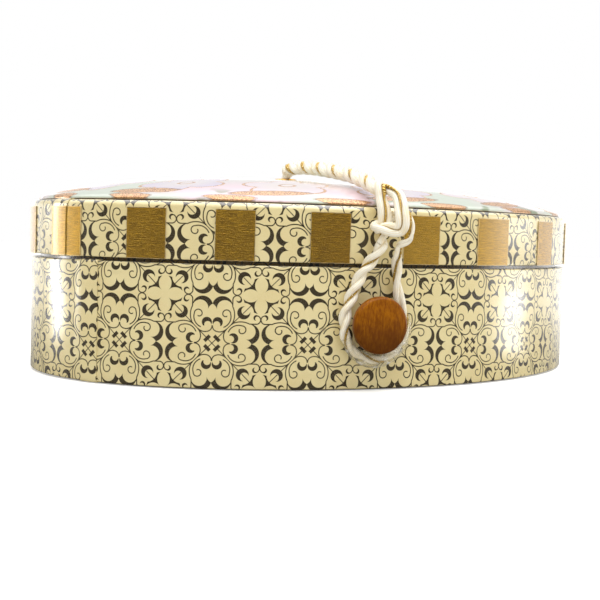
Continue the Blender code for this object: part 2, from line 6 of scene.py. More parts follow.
import math

import bmesh
import bpy
import numpy as np
from mathutils import Matrix, Vector, noise


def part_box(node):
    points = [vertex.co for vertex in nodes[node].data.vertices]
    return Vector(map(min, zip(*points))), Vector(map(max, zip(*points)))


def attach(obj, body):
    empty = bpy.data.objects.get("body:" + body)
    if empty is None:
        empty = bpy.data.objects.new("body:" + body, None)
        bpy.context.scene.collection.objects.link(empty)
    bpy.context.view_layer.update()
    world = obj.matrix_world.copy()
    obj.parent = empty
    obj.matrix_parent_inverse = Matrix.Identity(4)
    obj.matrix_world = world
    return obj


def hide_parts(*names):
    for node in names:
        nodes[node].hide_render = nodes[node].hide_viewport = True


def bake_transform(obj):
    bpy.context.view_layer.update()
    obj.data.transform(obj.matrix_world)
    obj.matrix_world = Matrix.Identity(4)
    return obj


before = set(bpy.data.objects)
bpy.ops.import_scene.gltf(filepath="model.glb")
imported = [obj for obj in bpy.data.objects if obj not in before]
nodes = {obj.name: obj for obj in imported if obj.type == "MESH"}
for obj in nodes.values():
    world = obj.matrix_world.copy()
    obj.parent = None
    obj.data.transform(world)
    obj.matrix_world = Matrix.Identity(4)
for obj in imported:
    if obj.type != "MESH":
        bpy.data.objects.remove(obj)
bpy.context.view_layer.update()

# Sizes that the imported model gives
body_low, body_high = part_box("body_wrap")
lid_low, lid_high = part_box("lid_wrap")
HALF_LENGTH = body_high.x
HALF_WIDTH = body_high.y
BODY_BOTTOM = body_low.z
BODY_TOP = body_high.z
LID_BOTTOM = lid_low.z
LID_TOP = lid_high.z
LID_PROUD = lid_high.x - body_high.x

# Papers: how thick they and the glue are, how far each lies inside the wall, and how far it is turned in
PAPER = 0.0003
SEAT = 0.0003
TURN_UNDER = 0.0100
BODY_INSIDE = 0.0032
BODY_TURN_IN = 0.0120
BODY_FOLD = 0.0006
LID_INSIDE = 0.0029
LID_TURN_IN = 0.0080
LID_TURN_OVER = 0.0100
LID_FOLD = 0.0022
NECK_OUTSIDE = 0.0035
NECK_INSIDE = 0.0062
NECK_TOP = 0.0593
NECK_BELOW_SEAM = 0.0060
NECK_TURN_IN = 0.0080
PAPER_LAP = 0.0060
LAP_RISE = 0.0050
ARC_STEPS = 360
BAKE_STRIPS = 3

# Where each paper's lap has its edge and its print a cross, by the way round from the front's middle and the
# height; the print's repeats; and how far the body's print has slipped where it comes round to its seam
BODY_LAP_EDGE = -0.1094
LID_LAP_EDGE = -0.1233
NECK_LAP_EDGE = 0.2900
BODY_CROSS = (-0.0040, 0.0153)
LID_CROSS = (0.00075, 0.0487)
NECK_CROSS = (0.0070, 0.0470)
BODY_REPEAT = 0.03222
LID_REPEAT = (0.03272, 0.0322)
NECK_REPEAT = 0.0322
BODY_PRINT_SLIP = 0.0123

# A smudge and a crease on the body's paper, in the same coordinates
SMUDGE = (-0.0310, 0.0210, 0.0)
CREASE = (-0.1025, 0.0375)

# Foil squares: distance of each middle from the front's middle, and width, as laid by hand. Those behind are
# evenly spaced, a share of their spacing late.
SQUARES_IN_FRONT = (
    (-0.1240, 0.0148),
    (-0.0914, 0.0138),
    (-0.0615, 0.0132),
    (-0.0295, 0.0139),
    (0.0047, 0.0147),
    (0.0380, 0.0165),
    (0.0732, 0.0131),
)
SQUARES_BEHIND = 12
BEHIND_SHIFT = 0.1
SQUARE_WIDTH = 0.0142
SQUARE_HEIGHT = 0.0170
FOIL = 0.0003

# Padded top: its upright rim, then its rise, how full it is towards the rim, and how it leans and ripples
COVER_RIM = 0.0010
CROWN_RISE = 0.0092
CROWN_POWER = 3.8
CROWN_INSET = 0.0027
CROWN_LEAN = -0.0013
CROWN_RIPPLE = 0.0005
EYELET_DIMPLE = 0.022
COVER_EDGE = 0.0006
TOP_RINGS = 40
TOP_STEPS = 240

# Button
BUTTON_X = -0.0142
BUTTON_HEIGHT = 0.0232
BUTTON_RADIUS = 0.0097
BUTTON_HEAD = 0.0055
BUTTON_CROWN = 0.0010
BUTTON_BACK_ROUND = 0.0022
BUTTON_FACE_ROUND = 0.0015
NECK_RADIUS = 0.0040
NECK_WAIST = 0.0005
NECK_FILLET = 0.0006
NECK_LENGTH = 0.0052

# Eyelet and cord
CORD_X = -0.0140
EYELET_BORE = 0.0030
EYELET_RADIUS = 0.0034
EYELET_FLANGE_RADIUS = 0.0048
EYELET_FLANGE = 0.0015
EYELET_DEPTH = 0.0040
STOPPER_TOP = 0.0584
EYELET_TOP = 0.0751
KNOT_CENTRE = (-0.0104, -0.0822, 0.0558)
LEAD_ROUTE = (
    (-0.0140, -0.0008, 0.0776), (-0.0138, -0.0036, 0.0788), (-0.0135, -0.0080, 0.0792),
    (-0.0131, -0.0160, 0.0791), (-0.0126, -0.0250, 0.0785), (-0.0122, -0.0410, 0.0766),
    (-0.0115, -0.0560, 0.0741), (-0.0116, -0.0680, 0.0710), (-0.0118, -0.0755, 0.0690),
    (-0.0110, -0.0800, 0.0676),
)
LOOP_ROUTE = (
    (-0.0141, -0.0822, 0.0503), (-0.0149, -0.0813, 0.0483), (-0.0161, -0.0801, 0.0458),
    (-0.0173, -0.0792, 0.0436), (-0.0186, -0.0785, 0.0416), (-0.0202, -0.0780, 0.0386),
    (-0.0218, -0.0777, 0.0351), (-0.0233, -0.0774, 0.0309), (-0.0246, -0.0773, 0.0267),
    (-0.0250, -0.0772, 0.0227), (-0.0245, -0.0773, 0.0189), (-0.0227, -0.0775, 0.0155),
    (-0.0196, -0.0778, 0.0126), (-0.0146, -0.0783, 0.0109), (-0.0095, -0.0786, 0.0117),
    (-0.0052, -0.0788, 0.0144), (-0.0026, -0.0789, 0.0185), (-0.0023, -0.0789, 0.0228),
    (-0.0034, -0.0789, 0.0274), (-0.0051, -0.0790, 0.0320), (-0.0061, -0.0791, 0.0370),
    (-0.0065, -0.0794, 0.0415), (-0.0074, -0.0804, 0.0452), (-0.0081, -0.0822, 0.0471),
    (-0.0081, -0.0822, 0.0501),
)

# The lead's two cords: length of a turn, half their distance and the lean of their gold threads; then in
# points from the lead's end: where the pair parts, where its path ends and how far it runs into the knot
PAIR_TURN = 0.0125
PAIR_APART = 0.00142
GOLD_LEAN = 1.15
PAIR_STOPS = 6
PATH_STOPS = 9
LEAD_SHARE = 4
GOLD_RADIUS = 0.00036
LEAD_GOLD_RADIUS = 0.00066
GOLD_RAMP = 0.004

# The film round the loop: shares of the loop's length, and its thickness and fullness
FILM_START = 0.36
FILM_END = 0.74
FILM_SIDES = 26
FILM_SHEET = 0.00008
FILM_REACH = 0.0019
FILM_FOLD = 0.0005

# Camera, as the photograph was taken
CAMERA_PLACE = (-0.17623, -0.36867, 0.05259)
CAMERA_AZIMUTH = 24.80
CAMERA_PITCH = 3.79
CAMERA_ROLL = 1.59
CAMERA_LENS = 58.85


def paint(red, green, blue):
    """A colour from the 0 to 255 values seen on a screen."""
    linear = []
    for value in (red, green, blue):
        share = value / 255.0
        linear.append(share / 12.92 if share <= 0.04045 else ((share + 0.055) / 1.055) ** 2.4)
    return (*linear, 1.0)


def smooth_step(values, start, end):
    """Rises smoothly from 0 at start to 1 at end."""
    share = np.clip((np.asarray(values, float) - start) / (end - start), 0.0, 1.0)
    return share * share * (3.0 - 2.0 * share)


# Camera


def view_axes():
    """The camera's directions: to its right, up and forward."""
    azimuth, pitch, roll = (math.radians(angle) for angle in (CAMERA_AZIMUTH, CAMERA_PITCH, CAMERA_ROLL))
    level = math.cos(pitch)
    forward = Vector((math.sin(azimuth) * level, math.cos(azimuth) * level, -math.sin(pitch)))
    flat_right = Vector((math.cos(azimuth), -math.sin(azimuth), 0.0))
    flat_up = flat_right.cross(forward)
    right = flat_right * math.cos(roll) + flat_up * math.sin(roll)
    return right, right.cross(forward), forward


def add_camera():
    """The camera at the photograph's place and angle."""
    right, up, forward = view_axes()
    data = bpy.data.cameras.new("Camera")
    data.lens = CAMERA_LENS
    data.sensor_width = 36.0
    data.clip_start = 0.01
    camera = bpy.data.objects.new("Camera", data)
    turn = Matrix((right, up, -forward)).transposed().to_4x4()
    camera.matrix_world = Matrix.Translation(CAMERA_PLACE) @ turn
    bpy.context.scene.collection.objects.link(camera)
    bpy.context.scene.camera = camera


# Nodes in short calls


class Amount:
    """A number that comes out of a node, so that sums between nodes read as sums."""

    def __init__(self, graph, socket):
        self.graph = graph
        self.socket = socket

    def __add__(self, other):
        return self.graph.maths("ADD", self, other)

    def __sub__(self, other):
        return self.graph.maths("SUBTRACT", self, other)

    def __rsub__(self, other):
        return self.graph.maths("SUBTRACT", other, self)

    def __mul__(self, other):
        return self.graph.maths("MULTIPLY", self, other)

    def __truediv__(self, other):
        return self.graph.maths("DIVIDE", self, other)

    def __abs__(self):
        return self.graph.maths("ABSOLUTE", self)

    __radd__ = __add__
    __rmul__ = __mul__


class Graph:
    """Adds nodes to a tree and feeds their sockets."""

    def __init__(self, tree):
        self.tree = tree

    def feed(self, socket, value):
        """Joins a socket to what feeds it, or sets its value."""
        if isinstance(value, Amount):
            value = value.socket
        if isinstance(value, bpy.types.NodeSocket):
            self.tree.links.new(value, socket)
        else:
            socket.default_value = value

    def feed_all(self, sockets, **values):
        """Feeds sockets by their names."""
        for name, value in values.items():
            self.feed(sockets[name.replace("_", " ")], value)

    def add(self, kind, inputs=(), **settings):
        """A new node with its settings, and its inputs by name, by number or in their order."""
        node = self.tree.nodes.new(kind)
        for name, value in settings.items():
            setattr(node, name, value)
        for key, value in inputs.items() if isinstance(inputs, dict) else enumerate(inputs):
            self.feed(node.inputs[key], value)
        return node

    def maths(self, operation, *values, clamp=False):
        node = self.add("ShaderNodeMath", values, operation=operation, use_clamp=clamp)
        return Amount(self, node.outputs[0])

    def vector_maths(self, operation, *values):
        return self.add("ShaderNodeVectorMath", values, operation=operation).outputs

    def both(self, first, *others):
        """Where all the shapes are: the largest of their distances."""
        for other in others:
            first = self.maths("MAXIMUM", first, other)
        return first

    def either(self, first, *others):
        """Where any of the shapes is: the smallest of their distances."""
        for other in others:
            first = self.maths("MINIMUM", first, other)
        return first

    def span(self, value, start, end, low=0.0, high=1.0):
        """A value's way from start to end, as a smooth number from low to high."""
        values = (value, start, end, low, high)
        node = self.add("ShaderNodeMapRange", values, interpolation_type="SMOOTHSTEP")
        return Amount(self, node.outputs[0])

    def split(self, vector):
        return [Amount(self, socket) for socket in self.add("ShaderNodeSeparateXYZ", (vector,)).outputs]

    def join(self, x, y, z):
        return self.add("ShaderNodeCombineXYZ", (x, y, z)).outputs[0]

    def stretch(self, vector, scale):
        """A vector with each of its parts times a number."""
        return self.vector_maths("MULTIPLY", vector, scale)[0]

    def away(self, vector, point):
        """Distance from a point."""
        return Amount(self, self.vector_maths("DISTANCE", vector, point)["Value"])

    def cloud(self, vector, scale, detail=2.0, roughness=0.5):
        """Soft noise of a scale in clouds per metre."""
        inputs = {"Vector": vector, "Scale": scale, "Detail": detail, "Roughness": roughness}
        return Amount(self, self.add("ShaderNodeTexNoise", inputs).outputs[0])

    def mix(self, share, first, second):
        """One colour turning into another. Three numbers are a colour from the 0 to 255 seen on a screen."""
        first, second = (paint(*c) if isinstance(c, tuple) and len(c) == 3 else c for c in (first, second))
        return self.add("ShaderNodeMix", {0: share, 6: first, 7: second}, data_type="RGBA").outputs[2]

    def bump(self, height, distance):
        inputs = {"Height": height, "Distance": distance, "Strength": 1.0}
        return self.add("ShaderNodeBump", inputs).outputs[0]

    def here(self):
        """Object coordinates."""
        return self.add("ShaderNodeTexCoord").outputs["Object"]

    def uv(self, name):
        return self.add("ShaderNodeUVMap", uv_map=name).outputs[0]

    def attribute(self, name, output="Fac"):
        return self.add("ShaderNodeAttribute", attribute_name=name).outputs[output]

    def use(self, group, **inputs):
        """A shared node group with its inputs."""
        node = self.add("ShaderNodeGroup", node_tree=group)
        self.feed_all(node.inputs, **inputs)
        return [Amount(self, socket) for socket in node.outputs]

    def make(self, kind, inputs=(), **settings):
        """What a new geometry node makes."""
        return self.add("GeometryNode" + kind, inputs, **settings).outputs[0]

    def store(self, geometry, name, value, kind="FLOAT", domain="POINT"):
        """A geometry with a value kept on it under a name."""
        inputs = {"Geometry": geometry, "Name": name, "Value": value}
        return self.make("StoreNamedAttribute", inputs, data_type=kind, domain=domain)

    def solid(self, geometry, material):
        """A geometry as plain mesh in its material."""
        real = self.make("RealizeInstances", {"Geometry": geometry})
        return self.make("SetMaterial", {"Geometry": real, "Material": material})

    def stored(self, name, kind="FLOAT"):
        """A value that a geometry keeps under a name."""
        return self.make("InputNamedAttribute", {"Name": name}, data_type=kind)


def new_group(name, kind, inputs, outputs):
    """An empty node group. Its inputs have a kind, or the number that they start from."""
    tree = bpy.data.node_groups.new(name, kind)
    for label, start in inputs.items():
        start_kind = {float: "Float", int: "Int"}.get(type(start), start)
        socket = tree.interface.new_socket(label, in_out="INPUT", socket_type="NodeSocket" + start_kind)
        if start_kind != start:
            socket.default_value = start
    for label, value_kind in outputs.items():
        tree.interface.new_socket(label, in_out="OUTPUT", socket_type="NodeSocket" + value_kind)
    graph = Graph(tree)
    given = graph.add("NodeGroupInput").outputs
    return graph, given, graph.add("NodeGroupOutput").inputs


def new_geometry_group(name, inputs):
    """An empty group that takes a geometry and gives one."""
    return new_group(name, "GeometryNodeTree", {"Geometry": "Geometry", **inputs}, {"Geometry": "Geometry"})


def new_material(name, **finish):
    """A material with the finish that is the same all over set on the shader's own sockets."""
    material = bpy.data.materials.new(name)
    material.use_nodes = True
    shader = material.node_tree.nodes["Principled BSDF"]
    for label, value in finish.items():
        shader.inputs[label.replace("_", " ")].default_value = value
    return material, Graph(material.node_tree), shader.inputs


# Effects that materials share


def scroll_print_group():
    """The wrought-iron scroll print. Place counts repeats, from a cross's middle.

    Each repeat is the same eighth mirrored all round, so a place is folded into one eighth first: a and b run
    along its edges, m along its diagonal and n away from that. A stroke is a distance, negative inside it.
    """
    inputs, outputs = {"Place": "Vector"}, {"Bold": "Float", "Fine": "Float"}
    graph, given, result = new_group("Scroll print", "ShaderNodeTree", inputs, outputs)
    both, either = graph.both, graph.either
    x, y = (abs(graph.maths("WRAP", part, 0.5, -0.5)) for part in graph.split(given["Place"])[:2])
    a = graph.maths("MAXIMUM", x, y)
    b = graph.maths("MINIMUM", x, y)
    m = (a + b) * 0.70711
    n = (a - b) * 0.70711
    place, slanted = graph.join(a, b, 0.0), graph.join(m, n, 0.0)
    line = 0.0060

    def disc(across, up, radius):
        return graph.away(place, (across, up, 0.0)) - radius

    def outside(across, up, radius):
        return radius - graph.away(place, (across, up, 0.0))

    def ring(across, up, radius):
        return abs(disc(across, up, radius)) - line

    bar = both(abs(m - 0.0707) - 0.0185, n - 0.039)
    collar = both(n + abs(m - 0.288) * 0.35 - 0.0085, abs(m - 0.288) - 0.03)
    ball = graph.away(slanted, (0.4556, 0.0, 0.0)) - 0.067
    ball = both(ball, 0.046 - graph.away(slanted, (0.4865, 0.0, 0.0)))
    bract = both(outside(0.5311, 0.3913, 0.0986), outside(0.3214, 0.3214, 0.1048), disc(0.5, 0.5, 0.187))
    bract = both(bract, m - 0.6522)
    comma = both(disc(0.4519, 0.2733, 0.0295), outside(0.4643, 0.2640, 0.0233))
    horn = both(disc(0.3835, 0.1025, 0.1064), outside(0.3665, 0.1273, 0.0818))
    horn = both(horn, outside(0.3253, -0.0435, 0.0940), 0.352 - a)
    fiddle = both(disc(0.2189, 0.0559, 0.0528), outside(0.1925, 0.0466, 0.0357), 0.180 - a)

    stem = both(n - line * 0.8, m - 0.39)
    pin = both(n - line * 0.8, 0.445 - m, m - 0.575)
    curl = both(ring(0.4534, 0.2516, 0.0443), 0.4457 - a, b - 0.2966)
    link = both(abs(b - 0.2073) - line, 0.3835 - a, a - 0.4534)
    side = both(ring(0.2966, 0.0342, 0.1940), 0.2011 - a, a - 0.3835, 0.0342 - b)
    scroll = both(ring(0.2748, 0.0769, 0.1149), a - 0.3075, 0.1165 - b)
    hook = both(ring(0.3075, 0.1467, 0.0404), 0.3075 - a)
    hook_end = both(ring(0.3075, 0.1359, 0.0295), a - 0.3075, b - 0.153)
    tail = both(ring(0.1801, 0.0613, 0.0590), a - 0.186, b - 0.0575)
    tail_end = both(ring(0.2283, 0.0730, 0.1095), 0.0575 - b, a - 0.152)

    bold = either(bar, collar, ball, bract, comma, horn, fiddle)
    fine = either(stem, pin, curl, link, side, scroll, hook, hook_end, tail, tail_end)
    for name, distance in (("Bold", bold), ("Fine", fine)):
        graph.feed(result[name], graph.maths("MULTIPLY_ADD", distance, -400.0, 0.5, clamp=True))
    return graph.tree


def paper_grain_group():
    """Fibres of a paper: blotches, small flecks and the height of its grain."""
    outputs = {"Blotch": "Float", "Fleck": "Float", "Height": "Float"}
    inputs = {"Place": "Vector", "Size": 1.0}
    graph, given, result = new_group("Paper grain", "ShaderNodeTree", inputs, outputs)
    place, size = given["Place"], Amount(graph, given["Size"])
    blotch = graph.cloud(place, size * 90.0, 3.0)
    fleck = graph.cloud(place, size * 2600.0, 2.0, 0.7)
    height = graph.cloud(place, size * 900.0, 4.0, 0.6)
    blotch, fleck = graph.span(blotch, 0.35, 0.65), graph.span(fleck, 0.42, 0.68)
    graph.feed_all(result, Blotch=blotch, Fleck=fleck, Height=height)
    return graph.tree


def yarn_group():
    """Fine threads that run round and along a strand, with a mask of painted shade between them."""
    inputs = {"Around": "Vector", "Along": 0.0, "Threads": 9.0, "Turn length": 0.006}
    graph, given, result = new_group("Yarn", "ShaderNodeTree", inputs, {"Ridge": "Float", "Shade": "Float"})
    x, y, _ = graph.split(given["Around"])
    along, threads, turn_length = (Amount(graph, given[name]) for name in ("Along", "Threads", "Turn length"))
    turn = along / turn_length * (2.0 * math.pi)
    wave = graph.maths("SINE", graph.maths("ARCTAN2", y, x) * threads + turn)
    drift = graph.cloud(graph.join(x * 0.003, y * 0.003, along), 900.0, 3.0)
    graph.feed_all(result, Ridge=wave * 0.5 + drift, Shade=graph.span(wave + drift * 2.0 - 1.0, -1.2, 1.0))
    return graph.tree


SCROLL_PRINT = scroll_print_group()
PAPER_GRAIN = paper_grain_group()
YARN = yarn_group()


# Materials


def printed_paper(name, ground, shade, ink, blemished=False):
    """Glossy paper with the scroll print; ground and shade are its two close colours."""
    material, graph, shader = new_material(
        name, Coat_Roughness=0.2, Specular_IOR_Level=0.5, Sheen_Weight=0.35, Sheen_Roughness=0.25
    )
    place = graph.uv("Print")
    bold, fine = graph.use(SCROLL_PRINT, Place=place)
    blotch, fleck, height = graph.use(PAPER_GRAIN, Place=graph.here())
    colour = graph.mix(blotch * 0.55, ground, shade)
    colour = graph.mix(fleck * 0.10, colour, (196, 170, 110))
    faint = graph.cloud(place, 1.7)
    colour = graph.mix(fine * graph.span(faint, 0.3, 0.7, 0.88, 1.0), colour, (38, 28, 10))
    colour = graph.mix(bold * 0.97, colour, graph.mix(fleck * 0.25, ink, (92, 80, 60)))
    if blemished:
        across, up, _ = graph.split(graph.uv("Flat"))
        smudge = graph.away(graph.join(across, up, 0.0), SMUDGE)
        smudge = graph.span(smudge + graph.cloud(graph.here(), 1400.0) * 0.0018, 0.0024, 0.0012)
        colour = graph.mix(smudge * 0.5, colour, (96, 84, 66))
        from_crease = graph.join(across - CREASE[0], up - CREASE[1], 0.0)
        crease = graph.away(graph.stretch(from_crease, (1.0, 2.2, 1.0)), (0, 0, 0))
        height = height + graph.span(crease, 0.0045, 0.0, 0.0, 3.0)
    rough, coat = fleck * 0.06 + blotch * 0.06 + 0.20, 0.9 - blotch * 0.2
    normal = graph.bump(height, 0.00010)
    graph.feed_all(shader, Base_Color=colour, Roughness=rough, Coat_Weight=coat, Normal=normal)
    return material


def foil_material():
    """Antique gold foil with a fine grain that runs round the lid."""
    material, graph, shader = new_material(
        "gold_foil", Coat_Roughness=0.25, Coat_IOR=1.7, Sheen_Weight=1.0, Sheen_Roughness=0.2
    )
    across, _, up = graph.split(graph.attribute("square_place", "Vector"))
    number = Amount(graph, graph.attribute("square_number"))
    grain_place = graph.join(across * 0.7 + number * 3.0, up * 7.0, number)
    grain = graph.cloud(grain_place, 6.0, 5.0, 0.75)
    speck = graph.cloud(graph.join(across + number * 5.0, up, number), 42.0, 3.0, 0.7)
    tone = graph.cloud(graph.join(number * 7.3, 0.0, 0.0), 3.0)
    colour = graph.mix(graph.span(grain, 0.36, 0.64), (128, 90, 8), (192, 145, 34))
    # The lighter gold specks are the foil's own flecks and also painted glints
    colour = graph.mix(graph.span(speck, 0.45, 0.75) * 0.4, colour, (244, 206, 96))
    colour = graph.mix(graph.span(tone, 0.35, 0.65) * 0.25, colour, (238, 190, 72))
    edge = graph.maths("MAXIMUM", abs(across), abs(up))
    worn = graph.span(edge + graph.cloud(grain_place, 30.0) * 0.02, 0.490, 0.512)
    colour = graph.mix(worn * 0.6, colour, (246, 226, 176))
    rough, coat = grain * 0.22 + 0.22, 1.0 - speck * 0.2
    graph.feed_all(shader, Base_Color=colour, Metallic=1.0 - worn * 0.2, Roughness=rough, Coat_Weight=coat)
    graph.feed(shader["Normal"], graph.bump(grain + speck * 0.6, 0.00022))
    return material


def picture_material():
    """Glossy picture of open blossoms with copper outlines, a plain design of the part's own."""
    material, graph, shader = new_material(
        "picture_cover", Coat_Weight=0.1, Coat_Roughness=0.06, Specular_IOR_Level=0.4
    )
    x, y, up = graph.split(graph.here())
    along = x / (HALF_LENGTH - CROWN_INSET)
    across = y / (HALF_WIDTH - CROWN_INSET)
    share = graph.maths("SQRT", along * along + across * across)
    angle = graph.maths("ARCTAN2", across, along)
    wash = graph.cloud(graph.here(), 26.0, 3.0)
    tone = graph.cloud(graph.here(), 19.0, 2.0)
    middle_ground = graph.mix(graph.span(wash, 0.42, 0.60), (199, 207, 192), (208, 204, 200))
    edge_ground = graph.mix(graph.span(tone, 0.44, 0.56), (228, 206, 214), (198, 206, 190))
    colour = graph.mix(graph.span(share, 0.55, 0.90), middle_ground, edge_ground)
    deep = graph.span(graph.cloud(graph.here(), 60.0, 2.0), 0.60, 0.66)
    colour = graph.mix(deep * graph.span(share, 0.86, 0.96) * 0.8, colour, (112, 130, 84))

    def repeat(count, middle, shift):
        """A place round the oval, folded into one of a number of equal shares."""
        width = 2.0 * math.pi / count
        local = graph.maths("WRAP", angle + shift, width / 2, -width / 2)
        return local * middle, share - middle, graph.maths("ROUND", (angle + shift) / width)

    # Two rings of blossoms: how many, their middle, reach and shift, and their two colours
    copper = 0.0
    petals = 5.0
    for count, middle, reach, shift, first, second in (
        (9, 0.47, 0.155, 0.0, (220, 214, 204), (188, 202, 192)),
        (14, 0.80, 0.150, 0.2, (224, 210, 216), (206, 196, 214)),
    ):
        sideways, outward, number = repeat(count, middle, shift)
        spread = graph.maths("SQRT", sideways * sideways + outward * outward)
        turn = graph.maths("ARCTAN2", sideways, outward)
        lobe = abs(graph.maths("COSINE", turn * (petals / 2) + number * 1.3))
        distance = spread - (lobe * 0.34 + 0.66) * reach
        inside = graph.span(distance, 0.002, -0.002)
        tint = graph.cloud(graph.join(number, number * 0.7, 0.0), 2.3)
        petal = graph.mix(graph.span(tint, 0.4, 0.6), first, second)
        petal = graph.mix(graph.span(spread, reach * 0.9, reach * 0.2) * 0.6, petal, (222, 214, 204))
        vein = graph.span(abs(graph.maths("SINE", turn * (petals * 3.0))), 0.16, 0.0)
        petal = graph.mix(vein * 0.25, petal, (164, 138, 160))
        colour = graph.mix(inside, colour, petal)
        rim = graph.span(abs(distance), 0.0060, 0.0035)
        heart = graph.span(abs(spread - reach * 0.17), reach * 0.05, reach * 0.02)
        copper = graph.both(copper * (1.0 - inside * 0.999) if count > 9 else rim, rim, heart * 0.8)
    # Two rings of leaves: how many, their middle and shift, and their half length, half width and lean
    outlines = 0.0
    for count, middle, shift, long, deep, lean in (
        (13, 0.930, 0.10, 0.130, 0.030, 0.10),
        (17, 0.985, 0.31, 0.090, 0.022, -0.06),
    ):
        sideways, outward, number = repeat(count, middle, shift)
        ragged = (graph.cloud(graph.here(), 420.0) - 0.5) * 0.5
        bent = (outward + sideways * lean) / deep
        leaf = sideways * sideways / (long * long) + bent * bent + ragged
        copper = graph.both(copper, graph.span(leaf, 1.05, 0.85))
        outlines = graph.both(outlines, graph.span(abs(leaf - 1.0), 0.22, 0.08))
    speck = graph.cloud(graph.here(), 1900.0, 2.0, 0.7)
    metal = copper * graph.span(speck, 0.30, 0.5, 0.8, 1.0)
    colour = graph.mix(metal, colour, graph.mix(graph.span(speck, 0.4, 0.6), (142, 90, 46), (214, 168, 118)))
    colour = graph.mix(outlines * 0.5, colour, (112, 78, 50))
    edge = graph.span(up, LID_TOP + SEAT + 0.0003, LID_TOP + SEAT + 0.0001)
    colour = graph.mix(edge, colour, (136, 112, 82))
    shine, rough = metal * (1.0 - edge) * 0.3, metal * 0.12 + 0.16
    normal = graph.bump(metal * 0.6 + wash * 0.4, 0.00012)
    graph.feed_all(shader, Base_Color=colour, Metallic=shine, Roughness=rough, Normal=normal)
    return material


def wood_material():
    """Varnished turned wood."""
    material, graph, shader = new_material(
        "varnished_wood", Coat_Weight=0.10, Coat_Roughness=0.14, Specular_IOR_Level=0.08
    )
    place = graph.stretch(graph.here(), (1.0, 1.0, 0.22))
    streak = graph.cloud(place, 1500.0, 4.0, 0.62)
    pores = graph.cloud(graph.stretch(graph.here(), (1.0, 1.0, 0.35)), 3300.0, 2.0, 0.6)
    patch = graph.cloud(graph.here(), 210.0, 3.0)
    colour = graph.mix(graph.span(streak, 0.34, 0.66), (130, 70, 2), (166, 100, 4))
    colour = graph.mix(graph.span(patch, 0.40, 0.66) * 0.55, colour, (112, 56, 12))
    colour = graph.mix(graph.span(pores, 0.60, 0.72) * 0.5, colour, (84, 38, 6))
    _, _, up = graph.split(graph.here())
    # Painted shade: the button turns darker towards its bottom, as if lit only from above
    painted_shade_below = graph.span(up + streak * 0.004, BUTTON_HEIGHT + 0.0100, BUTTON_HEIGHT - 0.0080)
    colour = graph.mix(painted_shade_below * 0.85, colour, (78, 38, 1))
    normal = graph.bump(streak + pores * 0.4, 0.00004)
    graph.feed_all(shader, Base_Color=colour, Roughness=streak * 0.16 + 0.28, Normal=normal)
    return material


def metal_material(name, colour, stain, roughness):
    """Drawn metal with fine turning marks and a little tarnish."""
    material, graph, shader = new_material(name, Metallic=1.0)
    marks = graph.cloud(graph.stretch(graph.here(), (1.0, 1.0, 6.0)), 1600.0, 3.0)
    tarnish = graph.cloud(graph.here(), 420.0, 3.0)
    colour = graph.mix(graph.span(tarnish, 0.45, 0.7) * 0.6, colour, stain)
    normal = graph.bump(marks, 0.00002)
    graph.feed_all(shader, Base_Color=colour, Roughness=marks * 0.2 + roughness, Normal=normal)
    return material


def satin_material(name, light, dark, roughness, sheen):
    """Cream strand of fine shiny threads."""
    material, graph, shader = new_material(name, Sheen_Weight=sheen, Sheen_Roughness=0.4, Coat_Roughness=0.3)
    place = {"Around": graph.attribute("around", "Vector"), "Along": graph.attribute("along")}
    ridge, shade = graph.use(YARN, **place, Threads=11.0, Turn_length=0.0072)
    dirt_and_shade = graph.cloud(graph.here(), 300.0, 3.0)
    # The dark colour is a painted golden shadow: the grooves between the threads turn towards it as painted
    # shade, and cloudy patches of dirt do as well
    colour = graph.mix(shade * 0.35 + graph.span(dirt_and_shade, 0.45, 0.7) * 0.25, light, dark)
    rough, coat = shade * 0.15 + roughness, 0.25 - shade * 0.1
    normal = graph.bump(ridge, 0.00006)
    graph.feed_all(shader, Base_Color=colour, Roughness=rough, Coat_Weight=coat, Normal=normal)
    return material


def gold_thread_material():
    """Thin thread of wound gold ribbon."""
    material, graph, shader = new_material("gold_thread", Coat_Roughness=0.2)
    around = graph.attribute("around", "Vector")
    along = graph.attribute("along")
    ridge, shade = graph.use(YARN, Around=around, Along=along, Threads=2.0, Turn_length=0.0006)
    # Painted glints of white along the thread, and painted shade in the ribbon's grooves
    glint = graph.cloud(graph.join(along, 0.0, 0.0), 2600.0, 2.0)
    colour = graph.mix(shade, (224, 186, 84), (146, 106, 26))
    colour = graph.mix(graph.span(glint, 0.52, 0.66) * 0.8, colour, (255, 242, 196))
    shine, rough = 0.45 + shade * 0.15, shade * 0.2 + 0.25
    normal = graph.bump(ridge, 0.00012)
    graph.feed_all(shader, Base_Color=colour, Metallic=shine, Roughness=rough, Normal=normal)
    return material


def film_material():
    """Crumpled clear film: it shows most where it is seen edge on and along its folds, as painted reflection.
    """
    material, graph, shader = new_material("clear_film", Roughness=0.12, Coat_Weight=0.4, Coat_Roughness=0.05)
    facing = Amount(graph, graph.add("ShaderNodeLayerWeight", {"Blend": 0.4}).outputs["Facing"])
    folds = graph.cloud(graph.here(), 330.0, 3.0, 0.6)
    painted_fold_sheen = graph.span(folds, 0.48, 0.72)
    graph.feed(shader["Base Color"], graph.mix(painted_fold_sheen, (226, 214, 176), (255, 255, 250)))
    graph.feed(shader["Alpha"], graph.maths("ADD", facing * 0.35 + 0.06, painted_fold_sheen * 0.32, clamp=True))
    graph.feed(shader["Normal"], graph.bump(folds, 0.0012))
    return material


def board_material():
    """Grey board: pressed waste fibre with dark and light specks."""
    material, graph, shader = new_material("greyboard", Specular_IOR_Level=0.3)
    blotch, fleck, height = graph.use(PAPER_GRAIN, Place=graph.here(), Size=0.8)
    colour = graph.mix(blotch, (172, 160, 142), (150, 138, 120))
    colour = graph.mix(fleck * 0.5, colour, (104, 92, 78))
    normal = graph.bump(height, 0.00012)
    graph.feed_all(shader, Base_Color=colour, Roughness=fleck * 0.08 + 0.85, Normal=normal)
    return material


